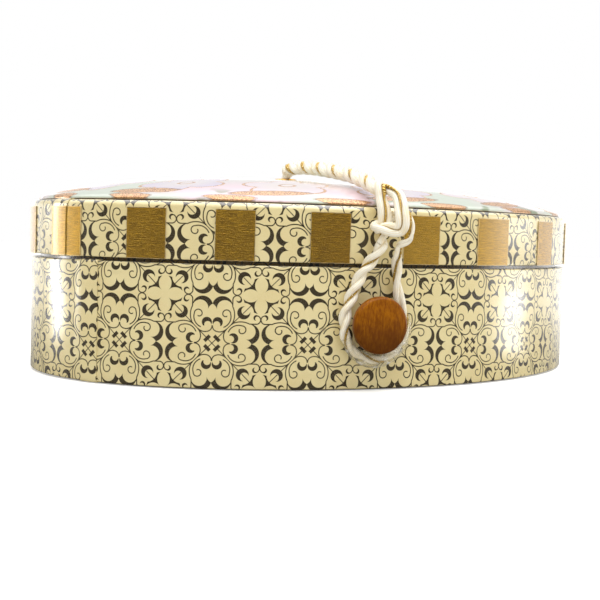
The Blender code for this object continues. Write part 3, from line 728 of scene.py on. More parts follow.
def plain_paper(name, light, dark, roughness):
    """Uncoated lining paper with laid lines."""
    material, graph, shader = new_material(name, Specular_IOR_Level=0.35)
    blotch, fleck, height = graph.use(PAPER_GRAIN, Place=graph.here(), Size=1.0)
    _, _, up = graph.split(graph.here())
    laid = graph.maths("SINE", up * 5200.0) * 0.15
    colour = graph.mix(blotch * 0.6, light, dark)
    colour = graph.mix(fleck * 0.12, colour, (150, 134, 104))
    normal = graph.bump(height + laid, 0.00006)
    graph.feed_all(shader, Base_Color=colour, Roughness=blotch * 0.06 + roughness, Normal=normal)
    return material


# Building helpers


def add_mesh(name, data, *materials):
    """A new object at the origin with its materials."""
    piece = bpy.data.objects.new(name, data)
    for material in materials:
        data.materials.append(material)
    bpy.context.scene.collection.objects.link(piece)
    return piece


def settle(piece, body, slot, *solids):
    """Puts a finished piece on its body, in place of the model's own solids. The slot is not used."""
    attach(piece, body)
    if solids:
        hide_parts(*solids)


def closed_mesh(name, bm, sharp=30.0):
    """Turns a bmesh into a mesh with its faces out and its round sides smooth."""
    bmesh.ops.recalc_face_normals(bm, faces=bm.faces)
    mesh = bpy.data.meshes.new(name)
    bm.to_mesh(mesh)
    bm.free()
    mesh.shade_smooth()
    mesh.set_sharp_from_angle(angle=math.radians(sharp))
    return mesh


def skin_rings(bm, rings, closed=False):
    """Faces between rings of vertices, with both ends filled or the last ring joined to the first."""
    pairs = list(zip(rings, rings[1:]))
    if closed:
        pairs.append((rings[-1], rings[0]))
    else:
        bm.faces.new(rings[0])
        bm.faces.new(rings[-1])
    for lower, upper in pairs:
        for step in range(len(lower)):
            after = (step + 1) % len(lower)
            bm.faces.new((lower[step], lower[after], upper[after], upper[step]))


def turned(name, profile, place, segments=96, closed=False, sharp=30.0):
    """A turned piece from (radius, height) points, filled at its ends or closed into a ring."""
    bm = bmesh.new()
    rings = []
    for radius, height in profile:
        angles = [2.0 * math.pi * step / segments for step in range(segments)]
        rings.append([bm.verts.new((radius * math.cos(a), radius * math.sin(a), height)) for a in angles])
    skin_rings(bm, rings, closed)
    bm.transform(place)
    return closed_mesh(name, bm, sharp)


def corner(centre, radius, start, end, steps=6):
    """Points of a round corner in a profile, from one angle in degrees to another."""
    angles = [math.radians(start + (end - start) * step / steps) for step in range(steps + 1)]
    return [(centre[0] + radius * math.cos(a), centre[1] + radius * math.sin(a)) for a in angles]


def length_along(line):
    """How far each point is from the line's start."""
    return np.concatenate([[0.0], np.cumsum(np.linalg.norm(np.diff(line, axis=0), axis=1))])


def run_nodes(name, data, tree, **inputs):
    """Runs a geometry node tree on a mesh and keeps what it makes as a plain mesh."""
    source = add_mesh(name + "_source", data)
    modifier = source.modifiers.new("Nodes", "NODES")
    modifier.node_group = tree
    for item in tree.interface.items_tree:
        label = item.name.replace(" ", "_").lower()
        if item.in_out == "INPUT" and label in inputs:
            modifier[item.identifier] = inputs[label]
    depsgraph = bpy.context.evaluated_depsgraph_get()
    made = source.evaluated_get(depsgraph)
    mesh = bpy.data.meshes.new_from_object(made, preserve_all_data_layers=True, depsgraph=depsgraph)
    mesh.name = name
    bpy.data.objects.remove(source)
    piece = bpy.data.objects.new(name, mesh)
    bpy.context.scene.collection.objects.link(piece)
    return piece


# Pieces laid round the oval


def lay_round_tree():
    """Lays a flat piece round the box: x is the way round from the front's middle, y out and z up."""
    inputs = {"Half length": HALF_LENGTH, "Half width": HALF_WIDTH, "Finish": "Material"}
    graph, given, result = new_geometry_group("Lay round the oval", inputs)
    circle = graph.make("CurvePrimitiveCircle", {"Resolution": 1440, "Radius": 1.0})
    size = graph.join(given["Half length"], given["Half width"], 1.0)
    outline = graph.make("Transform", {"Geometry": circle, "Scale": size})
    whole = Amount(graph, graph.make("CurveLength", {"Curve": outline}))
    way, out, up = graph.split(graph.make("InputPosition"))
    length = graph.maths("FLOORED_MODULO", way + whole * 0.75, whole)
    sample = graph.add("GeometryNodeSampleCurve", {"Curves": outline, "Length": length}, mode="LENGTH")
    facing = graph.vector_maths("CROSS_PRODUCT", sample.outputs["Tangent"], (0.0, 0.0, 1.0))[0]
    on_x, on_y, _ = graph.split(sample.outputs["Position"])
    out_x, out_y, _ = graph.split(facing)
    place = graph.join(on_x + out_x * out, on_y + out_y * out, up)
    laid = graph.make("SetPosition", {"Geometry": given["Geometry"], "Position": place})
    graph.feed_all(result, Geometry=graph.solid(laid, given["Finish"]))
    return graph.tree


LAY_ROUND = lay_round_tree()


def foil_squares_tree():
    """Foil squares: one on each point, as wide as the point says, laid round the lid."""
    sizes = {"Height": SQUARE_HEIGHT, "Foil": FOIL, "Low edge": LID_BOTTOM}
    sizes |= {"Stand out": LID_PROUD + PAPER * 0.3, "Lap edge": LID_LAP_EDGE, "Lap step": PAPER}
    graph, given, result = new_geometry_group("Foil squares", {**sizes, "Finish": "Material"})
    height, foil, low, stand_out, lap_edge, lap_step = (Amount(graph, given[name]) for name in sizes)
    cuts = {"Vertices X": 33, "Vertices Y": 2, "Vertices Z": 17}
    block = graph.make("MeshCube", {"Size": (1.0, 1.0, 1.0), **cuts})
    marked = graph.store(block, "square_place", graph.make("InputPosition"), "FLOAT_VECTOR")
    middle = graph.join(graph.stored("way"), stand_out + foil * 0.5, low + height * 0.5)
    points = graph.make("SetPosition", {"Geometry": given["Geometry"], "Position": middle})
    tilt = graph.add("FunctionNodeRandomValue", {2: -0.006, 3: 0.006, 8: 3}, data_type="FLOAT").outputs[1]
    size = graph.join(graph.stored("wide"), foil, height)
    placed = {"Points": points, "Instance": marked, "Rotation": graph.join(0.0, tilt, 0.0), "Scale": size}
    placed = graph.make("InstanceOnPoints", placed)
    numbered = graph.store(placed, "square_number", graph.stored("number"), domain="INSTANCE")
    real = graph.make("RealizeInstances", {"Geometry": numbered})
    way, _, up = graph.split(graph.make("InputPosition"))
    past_edge = graph.span(way - lap_edge, 0.0002, -0.0002)
    before_lap = graph.span(way - lap_edge, -PAPER_LAP - LAP_RISE, -PAPER_LAP)
    ragged = graph.cloud(graph.join(way * 3.0, 0.0, up * 3.0), 260.0) - 0.5
    shift = graph.join(ragged * 0.00035, past_edge * before_lap * lap_step, ragged * 0.0003)
    moved = graph.make("SetPosition", {"Geometry": real, "Offset": shift})
    laid = graph.make("Group", {"Geometry": moved, "Finish": given["Finish"]}, node_tree=LAY_ROUND)
    graph.feed_all(result, Geometry=laid)
    return graph.tree


def whole_way_round():
    """How far it is round the box's outline."""
    angles = np.linspace(0.0, 2.0 * math.pi, 2881)
    steps = np.hypot(np.diff(HALF_LENGTH * np.cos(angles)), np.diff(HALF_WIDTH * np.sin(angles)))
    return float(steps.sum())


def folded(corners, steps=6):
    """Points on a paper's face along its profile and their outward directions, its square folds rounded.

    A corner is (out, height, radius), and the face is on the right of the way that the corners go.
    """
    spots = [np.array(spot[:2]) for spot in corners]
    points = [spots[0]]
    for before, here, after, (_, _, radius) in zip(spots, spots[1:], spots[2:], corners[1:]):
        way_in = (here - before) / np.linalg.norm(here - before)
        way_out = (after - here) / np.linalg.norm(after - here)
        centre = here - way_in * radius + way_out * radius
        for step in range(steps + 1):
            angle = math.pi / 2 * step / steps
            spot = centre - way_out * radius * math.cos(angle) + way_in * radius * math.sin(angle)
            points.append(spot)
    points = np.array([*points, spots[-1]])
    ways = np.diff(points, axis=0)
    ways = ways / np.linalg.norm(ways, axis=1)[:, None]
    ways = np.vstack([ways[:1], ways[:-1] + ways[1:], ways[-1:]])
    ways = ways / np.linalg.norm(ways, axis=1)[:, None]
    return points, np.stack([ways[:, 1], -ways[:, 0]], axis=1)


def add_paper(name, corners, lap_edge, print_place, material):
    """A paper wrapped once round the box, its end glued over its start, with its edges folded in."""
    face, outward = folded(corners)
    start = lap_edge - PAPER_LAP
    end = lap_edge + whole_way_round()
    lap_arcs = end - PAPER_LAP - np.linspace(LAP_RISE, 0.0, 7)
    arcs = np.unique(np.concatenate([np.linspace(start, end, ARC_STEPS + 1), lap_arcs]))
    lift = smooth_step(arcs, end - PAPER_LAP - LAP_RISE, end - PAPER_LAP) * PAPER * 1.15
    lengths = length_along(face)
    wall = int(np.argmax(np.diff(face[:, 1])))
    developed = lengths - lengths[wall] + face[wall, 1]
    bm = bmesh.new()
    layers = bm.loops.layers.uv
    print_layer, flat_layer, bake_layer = (layers.new(name) for name in ("Print", "Flat", "OFBake"))
    strip_length = (arcs[-1] - arcs[0]) / BAKE_STRIPS
    strip_height = (developed[-1] - developed[0]) * 1.04
    rings = []
    for arc, raised in zip(arcs, lift):
        outer = face + outward * raised
        inner = face + outward * (raised - PAPER)
        loop = np.vstack([outer, inner[::-1]])
        rings.append([bm.verts.new((arc, out, height)) for out, height in loop])
    skin_rings(bm, rings)
    count = len(face)
    order = {}
    for column, ring in enumerate(rings):
        for row, vertex in enumerate(ring):
            order[vertex] = (column, row if row < count else 2 * count - 1 - row, row < count)
    for bm_face in bm.faces:
        spots = [order[vertex] for vertex in bm_face.verts]
        first_arc = arcs[min(spot[0] for spot in spots)]
        strip = min(BAKE_STRIPS - 1, int((first_arc - arcs[0]) / strip_length))
        on_face = all(spot[2] for spot in spots) and len(spots) == 4
        for loop, (column, row, _) in zip(bm_face.loops, spots):
            loop[print_layer].uv = print_place(arcs[column], developed[row])
            loop[flat_layer].uv = (arcs[column], developed[row])
            u = 0.01 + 0.98 * (arcs[column] - arcs[0] - strip * strip_length) / (strip_length * 1.01)
            v = (strip * strip_height + developed[row] - developed[0]) / strip_length
            loop[bake_layer].uv = (u, 0.01 + v * 0.97 if on_face else 0.997)
    return run_nodes(name, closed_mesh(name, bm, 50.0), LAY_ROUND, finish=material)


def body_print(arc, height):
    """Where the body's paper has its print: the crosses run a little downhill to both sides.

    The print is stretched a little round the back, so that it meets itself at the seam as photographed.
    """
    way = arc - BODY_CROSS[0]
    from_cross = min(max(way, -0.11), 0.10)
    row = BODY_CROSS[1] - 0.019 * from_cross - 0.15 * from_cross**2
    slip = BODY_PRINT_SLIP * float(smooth_step(arc, 0.16, 0.44))
    return (way - slip) / BODY_REPEAT, (height - row) / BODY_REPEAT


def lid_print(arc, height):
    """Where the lid's paper has its print."""
    return (arc - LID_CROSS[0]) / LID_REPEAT[0], (height - LID_CROSS[1]) / LID_REPEAT[1]


def neck_print(arc, height):
    """Where the neck's paper has its print."""
    return (arc - NECK_CROSS[0]) / NECK_REPEAT, (height - NECK_CROSS[1]) / NECK_REPEAT


def add_papers():
    """The three wrapped papers."""
    colours = (237, 221, 166), (227, 207, 147), (38, 26, 4)
    body_paper = printed_paper("body_print_paper", *colours, blemished=True)
    lid_paper = printed_paper("lid_print_paper", *colours)
    # The neck's paper is painted dark: painted shade for the narrow gap between lid and body where it shows
    neck_paper = printed_paper("neck_print_paper", (110, 86, 26), (84, 62, 14), (10, 7, 3))
    corners = [(-TURN_UNDER, BODY_BOTTOM, 0.0), (0.0, BODY_BOTTOM, BODY_FOLD), (0.0, BODY_TOP, BODY_FOLD)]
    corners += [(-BODY_INSIDE, BODY_TOP, BODY_FOLD), (-BODY_INSIDE, BODY_TOP - BODY_TURN_IN, 0.0)]
    piece = add_paper("body_paper", corners, BODY_LAP_EDGE, body_print, body_paper)
    settle(piece, "box", "scroll_print", "body_wrap")
    corners = [(-LID_INSIDE, LID_BOTTOM + LID_TURN_IN, 0.0), (-LID_INSIDE, LID_BOTTOM, BODY_FOLD)]
    corners += [(LID_PROUD, LID_BOTTOM, BODY_FOLD), (LID_PROUD, LID_TOP, LID_FOLD)]
    corners += [(LID_PROUD - LID_TURN_OVER, LID_TOP, 0.0)]
    piece = add_paper("lid_paper", corners, LID_LAP_EDGE, lid_print, lid_paper)
    settle(piece, "lid", "scroll_print", "lid_wrap")
    corners = [(-NECK_OUTSIDE, BODY_TOP - NECK_BELOW_SEAM, 0.0), (-NECK_OUTSIDE, NECK_TOP, PAPER)]
    corners += [(-NECK_INSIDE, NECK_TOP, PAPER), (-NECK_INSIDE, NECK_TOP - NECK_TURN_IN, 0.0)]
    piece = add_paper("neck_paper", corners, NECK_LAP_EDGE, neck_print, neck_paper)
    settle(piece, "box", "neck_paper", "neck_wrap")


def add_foil_squares():
    """The gold squares round the lid's side."""
    squares = list(SQUARES_IN_FRONT)
    first = squares[0][0] + whole_way_round()
    last = squares[-1][0]
    for step in range(1, SQUARES_BEHIND + 1):
        middle = last + (first - last) * (step + BEHIND_SHIFT) / (SQUARES_BEHIND + 1)
        squares.append((middle, SQUARE_WIDTH))
    data = bpy.data.meshes.new("foil_points")
    data.from_pydata([(0.0, 0.0, 0.0)] * len(squares), [], [])
    for name, values in (
        ("way", [square[0] for square in squares]),
        ("wide", [square[1] for square in squares]),
        ("number", range(len(squares))),
    ):
        data.attributes.new(name, "FLOAT", "POINT").data.foreach_set("value", list(map(float, values)))
    piece = run_nodes("foil_squares", data, foil_squares_tree(), finish=foil_material())
    settle(piece, "lid", "gold_foil", *(name for name in nodes if name.startswith("gold_square")))


# Padded top


def crown_height(x, y):
    """Height of the padded top: pulled flat at its edge, fullest a little left of the middle."""
    along = x / (HALF_LENGTH - CROWN_INSET)
    across = y / (HALF_WIDTH - CROWN_INSET)
    share = min(1.0, math.hypot(along, across))
    crown = CROWN_RISE * (1.0 - share**CROWN_POWER)
    lean = CROWN_LEAN * along * (1.0 - share**2)
    ease = min(1.0, math.hypot(x - CORD_X, y) / EYELET_DIMPLE)
    ripple = noise.noise(Vector((x * 22.0, y * 22.0, 0.3))) * CROWN_RIPPLE * (1.0 - share**4)
    return LID_TOP + SEAT + COVER_RIM + crown + (lean + ripple) * ease**2


def add_picture_top():
    """The picture stretched over wadding, with a hole at the eyelet."""
    half_length = HALF_LENGTH - CROWN_INSET
    half_width = HALF_WIDTH - CROWN_INSET
    bottom = LID_TOP + SEAT
    hole = EYELET_RADIUS + SEAT
    bm = bmesh.new()
    rings = []
    angles = [2.0 * math.pi * step / TOP_STEPS for step in range(TOP_STEPS)]

    def ring(points):
        rings.append([bm.verts.new(point) for point in points])

    def hole_point(angle, height):
        return (CORD_X + hole * math.cos(angle), hole * math.sin(angle), height)

    def edge_point(angle, inward, height):
        return ((half_length - inward) * math.cos(angle), (half_width - inward) * math.sin(angle), height)

    ring([hole_point(angle, bottom) for angle in angles])
    for step in range(TOP_RINGS + 1):
        share = (step / TOP_RINGS) ** 0.75
        points = []
        for angle in angles:
            x, y, _ = Vector(hole_point(angle, 0.0)).lerp(Vector(edge_point(angle, COVER_EDGE, 0.0)), share)
            points.append((x, y, crown_height(x, y)))
        ring(points)
    for step in range(1, 5):
        turn = math.radians(90.0 - 90.0 * step / 4)
        inward = COVER_EDGE * (1.0 - math.cos(turn))
        drop = COVER_EDGE * (1.0 - math.sin(turn))
        ring([edge_point(angle, inward, bottom + COVER_RIM - drop) for angle in angles])
    ring([edge_point(angle, 0.0, bottom) for angle in angles])
    skin_rings(bm, rings, closed=True)
    piece = add_mesh("picture_top", closed_mesh("picture_top", bm, 60.0), picture_material())
    settle(piece, "lid", "picture_cover", "top_cover", "top_pad")


# Turned pieces


def wall_place(x, height):
    """The place on the front wall at x, with its Z axis pointing straight out of the wall."""
    y = -HALF_WIDTH * math.sqrt(1.0 - (x / HALF_LENGTH) ** 2)
    outward = Vector((x / HALF_LENGTH**2, y / HALF_WIDTH**2, 0.0)).normalized()
    turn = outward.to_track_quat("Z", "Y").to_matrix().to_4x4()
    return Matrix.Translation((x, y, height)) @ turn


def add_button():
    """The turned button: a waisted neck, a full rim and a face that is barely crowned."""
    under = SEAT + NECK_LENGTH
    front = under + BUTTON_HEAD
    profile = [(NECK_RADIUS, SEAT)]
    for step in range(1, 8):
        share = step / 8
        waist = NECK_WAIST * math.sin(math.pi * share)
        profile.append((NECK_RADIUS - waist, SEAT + NECK_LENGTH * share))
    profile += corner((NECK_RADIUS + NECK_FILLET, under - NECK_FILLET), NECK_FILLET, 180, 90, 4)
    back = BUTTON_BACK_ROUND
    profile += corner((BUTTON_RADIUS - back, under + back), back, 270, 360, 8)
    face = BUTTON_FACE_ROUND
    profile += corner((BUTTON_RADIUS - face, front - BUTTON_CROWN - face), face, 0, 82, 8)
    edge = profile[-1]
    for step in range(1, 12):
        share = 1.0 - step / 12
        profile.append((edge[0] * share, front - (front - edge[1]) * share**2.4))
    profile.append((0.0001, front))
    mesh = turned("wooden_button", profile, wall_place(BUTTON_X, BUTTON_HEIGHT), 120)
    piece = add_mesh("wooden_button", mesh, wood_material())
    settle(piece, "box", "varnished_wood", "button")


def add_eyelet(brass):
    """The brass eyelet with a rolled flange."""
    seat = EYELET_TOP - EYELET_FLANGE
    bend = EYELET_FLANGE / 2
    low = seat - EYELET_DEPTH
    profile = [(EYELET_BORE, low), (EYELET_RADIUS, low), (EYELET_RADIUS, seat)]
    profile += corner((EYELET_FLANGE_RADIUS - bend, seat + bend), bend, 270, 450, 8)
    profile += corner((EYELET_BORE + bend, seat + bend), bend, 90, 180, 5)
    mesh = turned("eyelet", profile, Matrix.Translation((CORD_X, 0.0, 0.0)), 64, closed=True)
    piece = add_mesh("eyelet", mesh, brass)
    settle(piece, "lid", "eyelet_brass", "cord_eyelet")


# Cord


def between(at, lengths, points):
    """Points between the given ones."""
    return np.stack([np.interp(at, lengths, points[:, axis]) for axis in range(3)], axis=1)


def evenly(line, spacing):
    """The same line with points at even distances."""
    lengths = length_along(line)
    count = max(2, round(lengths[-1] / spacing))
    return between(np.linspace(0.0, lengths[-1], count + 1), lengths, line)


def smooth_line(points, spacing=0.0005):
    """Evenly spaced points on a smooth curve through a route's own points."""
    points = np.array(points, float)
    points = np.vstack([2 * points[0] - points[1], points, 2 * points[-1] - points[-2]])
    t = np.linspace(0.0, 1.0, 25)[:-1, None]
    fine = []
    for before, start, end, after in zip(points, points[1:], points[2:], points[3:]):
        bend = 2 * start + (end - before) * t + (2 * before - 5 * start + 4 * end - after) * t**2
        fine.append((bend + (3 * start - before - 3 * end + after) * t**3) / 2)
    fine.append(points[-2:-1])
    return evenly(np.vstack(fine), spacing)


def eased(line, passes):
    """The line with its small kinks taken out and its ends kept."""
    line = line.copy()
    for _ in range(passes):
        line[1:-1] = line[1:-1] * 0.5 + (line[:-2] + line[2:]) * 0.25
    return line


def frames_along(line, first_side):
    """Side and front directions along a line that turn as little as they can."""
    ways = np.gradient(line, axis=0)
    ways = ways / np.linalg.norm(ways, axis=1)[:, None]
    sides = []
    side = np.array(first_side, float)
    for way in ways:
        side = side - way * (side @ way)
        side = side / np.linalg.norm(side)
        sides.append(side)
    sides = np.array(sides)
    return sides, np.cross(ways, sides)


def lead_line():
    """The lead's middle line, from the stopper up through the eyelet and over to the knot."""
    heights = (STOPPER_TOP + SEAT, (STOPPER_TOP + EYELET_TOP) / 2, EYELET_TOP)
    return smooth_line([(CORD_X, 0.0, height) for height in heights] + list(LEAD_ROUTE))


def pair_lines(lead):
    """The two cords of the lead, wound round each other up to where the knot begins.

    With them comes the way that their gold threads face: both lie in the same one of the pair's two grooves.
    """
    lead = lead[:-PAIR_STOPS]
    along = length_along(lead)
    sides, fronts = frames_along(lead, (1.0, 0.0, 0.0))
    across = np.array(view_axes()[0])
    last = math.atan2(fronts[-1] @ across, sides[-1] @ across)
    turn = last - (along[-1] - along) / PAIR_TURN * 2.0 * math.pi
    out = sides * np.cos(turn)[:, None] + fronts * np.sin(turn)[:, None]
    groove = (fronts * np.cos(turn)[:, None] - sides * np.sin(turn)[:, None]) * math.sin(GOLD_LEAN)
    lines = lead - out * PAIR_APART, lead + out * PAIR_APART
    return lines, (groove + out * math.cos(GOLD_LEAN), groove - out * math.cos(GOLD_LEAN))


# The knot as the camera sees it: millimetres across, up and towards the camera from its middle
KNOT_LEFT_CORD = (
    (-3.7, 10.4, -2.4), (-3.2, 8.0, -1.3), (-2.7, 5.6, -0.9),
    (-2.5, 3.0, -0.9), (-2.6, -0.5, -1.0), (-3.1, -3.4, -0.5),
)
KNOT_RIGHT_CORD = (
    (0.5, 12.4, -2.5), (1.8, 11.2, -1.3), (2.4, 9.3, 0.0),
    (2.7, 7.1, 1.5), (2.8, 4.9, 2.7), (3.0, 2.6, 3.4),
    (3.0, 0.7, 3.3), (2.2, -0.7, 2.2), (0.5, -0.8, 2.0),
    (-1.5, -0.6, 2.8), (-3.2, -0.3, 3.1), (-4.7, -0.1, 2.3),
    (-5.7, -0.2, 0.4), (-5.4, 0.5, -1.5), (-3.9, 1.7, -2.8),
    (0.0, 3.8, -2.8), (3.2, 5.7, -2.4), (5.0, 5.0, -1.5),
    (6.1, 2.7, -0.7), (6.6, 0.0, 0.0), (6.4, -2.5, 0.4),
    (5.5, -4.4, 0.6), (2.9, -5.4, 0.4),
)

# Strands along the cord: stretch, share of its length, radius and how far apart they lie for their
# radius, and the length of a turn, all lengths in millimetres. The lead's strands follow the cord.
STRAND_KEYS = (
    (0, 0.00, 0.95, 0.42, 60.0),
    (0, 0.25, 0.98, 0.42, 60.0),
    (0, 0.45, 1.12, 0.42, 60.0),
    (0, 0.97, 1.14, 0.42, 60.0),
    (1, 0.12, 1.20, 0.80, 110.0),
    (1, 0.40, 1.24, 1.00, 60.0),
    (1, 0.60, 1.22, 0.98, 30.0),
    (1, 0.85, 1.05, 0.85, 16.0),
    (2, 0.00, 1.12, 0.88, 14.0),
    (2, 0.06, 1.16, 0.94, 13.0),
    (2, 0.30, 1.14, 0.92, 13.0),
    (2, 0.42, 0.80, 0.80, 13.0),
    (2, 0.68, 0.76, 0.80, 18.0),
    (2, 0.80, 1.04, 0.90, 25.0),
    (2, 0.90, 1.06, 0.90, 25.0),
    (2, 0.97, 0.90, 0.85, 25.0),
    (3, 0.03, 0.66, 0.85, 22.0),
    (3, 0.10, 0.56, 0.80, 20.0),
    (3, 0.28, 0.60, 0.80, 20.0),
    (3, 0.38, 0.95, 0.80, 18.0),
    (3, 0.50, 1.26, 0.84, 18.0),
    (3, 0.62, 1.28, 0.90, 24.0),
    (3, 0.80, 1.24, 0.96, 300.0),
    (3, 0.96, 1.18, 0.80, 300.0),
    (4, 0.03, 1.14, 0.42, 60.0),
    (4, 0.55, 1.12, 0.42, 60.0),
    (4, 0.75, 0.98, 0.42, 60.0),
    (4, 1.00, 0.95, 0.42, 60.0),
)


def knot_points(route):
    """A knot's route in the box's own frame."""
    right, up, forward = (np.array(axis) for axis in view_axes())
    spots = np.array(route) / 1000.0
    return np.array(KNOT_CENTRE) + spots[:, :1] * right + spots[:, 1:2] * up - spots[:, 2:] * forward


def whole_cord():
    """The one cord from its first end through knot, loop and knot back, and where each stretch begins.

    With it come the lead's path and the way the gold threads of the first and last stretch face.
    """
    lead = lead_line()
    (first, second), golds = pair_lines(lead)
    loop = smooth_line(LOOP_ROUTE)
    down = smooth_line(np.vstack([first[-1:], knot_points(KNOT_LEFT_CORD), loop[:1]]))
    back = smooth_line(np.vstack([loop[-1:], knot_points(KNOT_RIGHT_CORD)[::-1], second[-1:]]))
    stretches = [first, down, loop, back, second[::-1]]
    lengths = np.cumsum([length_along(stretch)[-1] for stretch in stretches])
    line = eased(evenly(np.vstack(stretches), 0.0004), 6)
    marks = [round(length / lengths[-1] * (len(line) - 1)) for length in lengths[:-1]]
    facing = np.zeros_like(line)
    for start, end, ways in ((0, marks[0] + 1, golds[0]), (marks[3], len(line), golds[1][::-1])):
        share = np.linspace(0.0, len(ways) - 1.0, end - start)
        facing[start:end] = between(share, range(len(ways)), ways)
    return lead[:-PATH_STOPS], line, marks, facing


def twisted_cord_tree():
    """Lays two satin strands and a thin gold thread round a middle line and gives them their thickness."""
    inputs = {"Sides": 14, "Satin": "Material", "Gold": "Material"}
    graph, given, result = new_geometry_group("Twisted cord", inputs)
    line = graph.make("MeshToCurve", {"Mesh": given["Geometry"]})
    circle = graph.make("CurvePrimitiveCircle", {"Resolution": given["Sides"], "Radius": 1.0})
    profile = graph.store(circle, "around", graph.make("InputPosition"), "FLOAT_VECTOR")
    turn = Amount(graph, graph.stored("turn"))
    side, front = (graph.stored(name, "FLOAT_VECTOR") for name in ("side", "front"))
    strands = graph.add("GeometryNodeJoinGeometry")
    for phase, strand in ((0.0, "satin"), (math.pi, "satin"), (math.pi / 2, "gold")):
        angle = turn + phase
        reach = Amount(graph, graph.stored(strand + "_spread"))
        moves = []
        for operation, way in (("COSINE", side), ("SINE", front)):
            scaled = {0: way, "Scale": graph.maths(operation, angle) * reach}
            moves.append(graph.add("ShaderNodeVectorMath", scaled, operation="SCALE").outputs[0])
        offset = graph.vector_maths("ADD", *moves)[0]
        moved = graph.make("SetPosition", {"Geometry": line, "Offset": offset})
        tube = {"Curve": moved, "Profile Curve": profile, "Scale": graph.stored(strand + "_radius")}
        tube = graph.make("CurveToMesh", {**tube, "Fill Caps": True})
        graph.feed(strands.inputs[0], graph.solid(tube, given[strand.capitalize()]))
    graph.feed_all(result, Geometry=strands.outputs[0])
    return graph.tree


def add_strands(name, chains, tree, satin, gold):
    """A cord piece from chains of points, each with what the strands need to know along it."""
    data = bpy.data.meshes.new(name + "_line")
    points = np.vstack([chain["line"] for chain in chains])
    edges = []
    start = 0
    for chain in chains:
        count = len(chain["line"])
        edges += [(start + step, start + step + 1) for step in range(count - 1)]
        start += count
    data.from_pydata(points.tolist(), edges, [])
    kept = {key: np.concatenate([chain[key] for chain in chains]) for key in chains[0] if key != "line"}
    for key, values in kept.items():
        kind, field = ("FLOAT", "value") if values.ndim == 1 else ("FLOAT_VECTOR", "vector")
        layer = data.attributes.new(key, kind, "POINT").data
        layer.foreach_set(field, values.astype(np.float32).ravel())
    piece = run_nodes(name, data, tree, satin=satin, gold=gold)
    piece.data.shade_smooth()
    return piece


def strand_facts(line, marks, gold_ways=None):
    """What the strands do along the whole cord: how they turn, how thick they are and how far apart."""
    along = length_along(line)
    sides, fronts = frames_along(line, (1.0, 0.0, 0.0))
    stops = [0.0, *(along[mark] for mark in marks), along[-1]]
    stretches, shares, *columns = (np.array(column) for column in zip(*STRAND_KEYS))
    keys = np.interp(stretches + shares, range(len(stops)), stops)
    radius, spread, pitch = (np.interp(along, keys, column) for column in columns)
    radius = radius / 1000.0
    spread = spread * radius
    wound = np.concatenate([[0.0], np.cumsum(2.0 * math.pi / (pitch[1:] / 1000.0) * np.diff(along))])
    turn = wound
    if gold_ways is not None:
        leave, arrive = marks[0], marks[3]
        facing = np.arctan2((fronts * gold_ways).sum(axis=1), (sides * gold_ways).sum(axis=1)) - math.pi / 2
        turn = wound - wound[leave] + facing[leave]
        miss = (facing[arrive] - turn[arrive] + math.pi) % (2.0 * math.pi) - math.pi
        turn = turn + miss * smooth_step(along, stops[2], stops[3])
        turn[:leave] = np.unwrap(facing[: leave + 1])[:-1]
        turn[:leave] += facing[leave] - np.unwrap(facing[: leave + 1])[-1]
        last = np.unwrap(facing[arrive:])
        turn[arrive:] = last - last[0] + turn[arrive]
    in_lead = 1.0 - smooth_step(along, stops[1], stops[1] + GOLD_RAMP)
    in_lead = in_lead + smooth_step(along, stops[4] - GOLD_RAMP, stops[4])
    gold = GOLD_RADIUS + (LEAD_GOLD_RADIUS - GOLD_RADIUS) * in_lead
    back = (along - stops[3]) / (stops[4] - stops[3])
    gold = gold * (1.0 - 0.7 * smooth_step(back, 0.40, 0.46) * (1.0 - smooth_step(back, 0.74, 0.86)))
    return {
        "line": line,
        "along": along,
        "turn": turn,
        "side": sides,
        "front": fronts,
        "satin_radius": radius,
        "satin_spread": spread,
        "gold_radius": gold,
        "gold_spread": np.sqrt((radius + gold) ** 2 - spread**2) + 0.00010,
    }


def stretch_of(facts, start, end):
    """What the strands do in one stretch."""
    return {key: values[start:end] for key, values in facts.items()}


def stopper_line():
    """A tight overhand knot under the lid, with the cut ends hanging out of it."""
    turns = np.linspace(0.25, 2.0 * math.pi + 0.1, 160)
    x = np.sin(turns) + 2.0 * np.sin(2.0 * turns)
    y = np.cos(turns) - 2.0 * np.cos(2.0 * turns)
    z = -np.sin(3.0 * turns)
    middle = STOPPER_TOP - 0.0044
    knot = np.stack([CORD_X + x * 0.00108, y * 0.00108, middle + z * 0.0019], axis=1)
    top = np.array([[CORD_X, 0.0, STOPPER_TOP + SEAT]])
    low = [(0.0002, -0.0003, -0.0022), (0.0006, -0.0004, -0.0046), (0.0010, -0.0003, -0.0066)]
    low = knot[-1] + np.array(low)
    return eased(smooth_line(np.vstack([top, knot[::6], low]), 0.0004), 4)


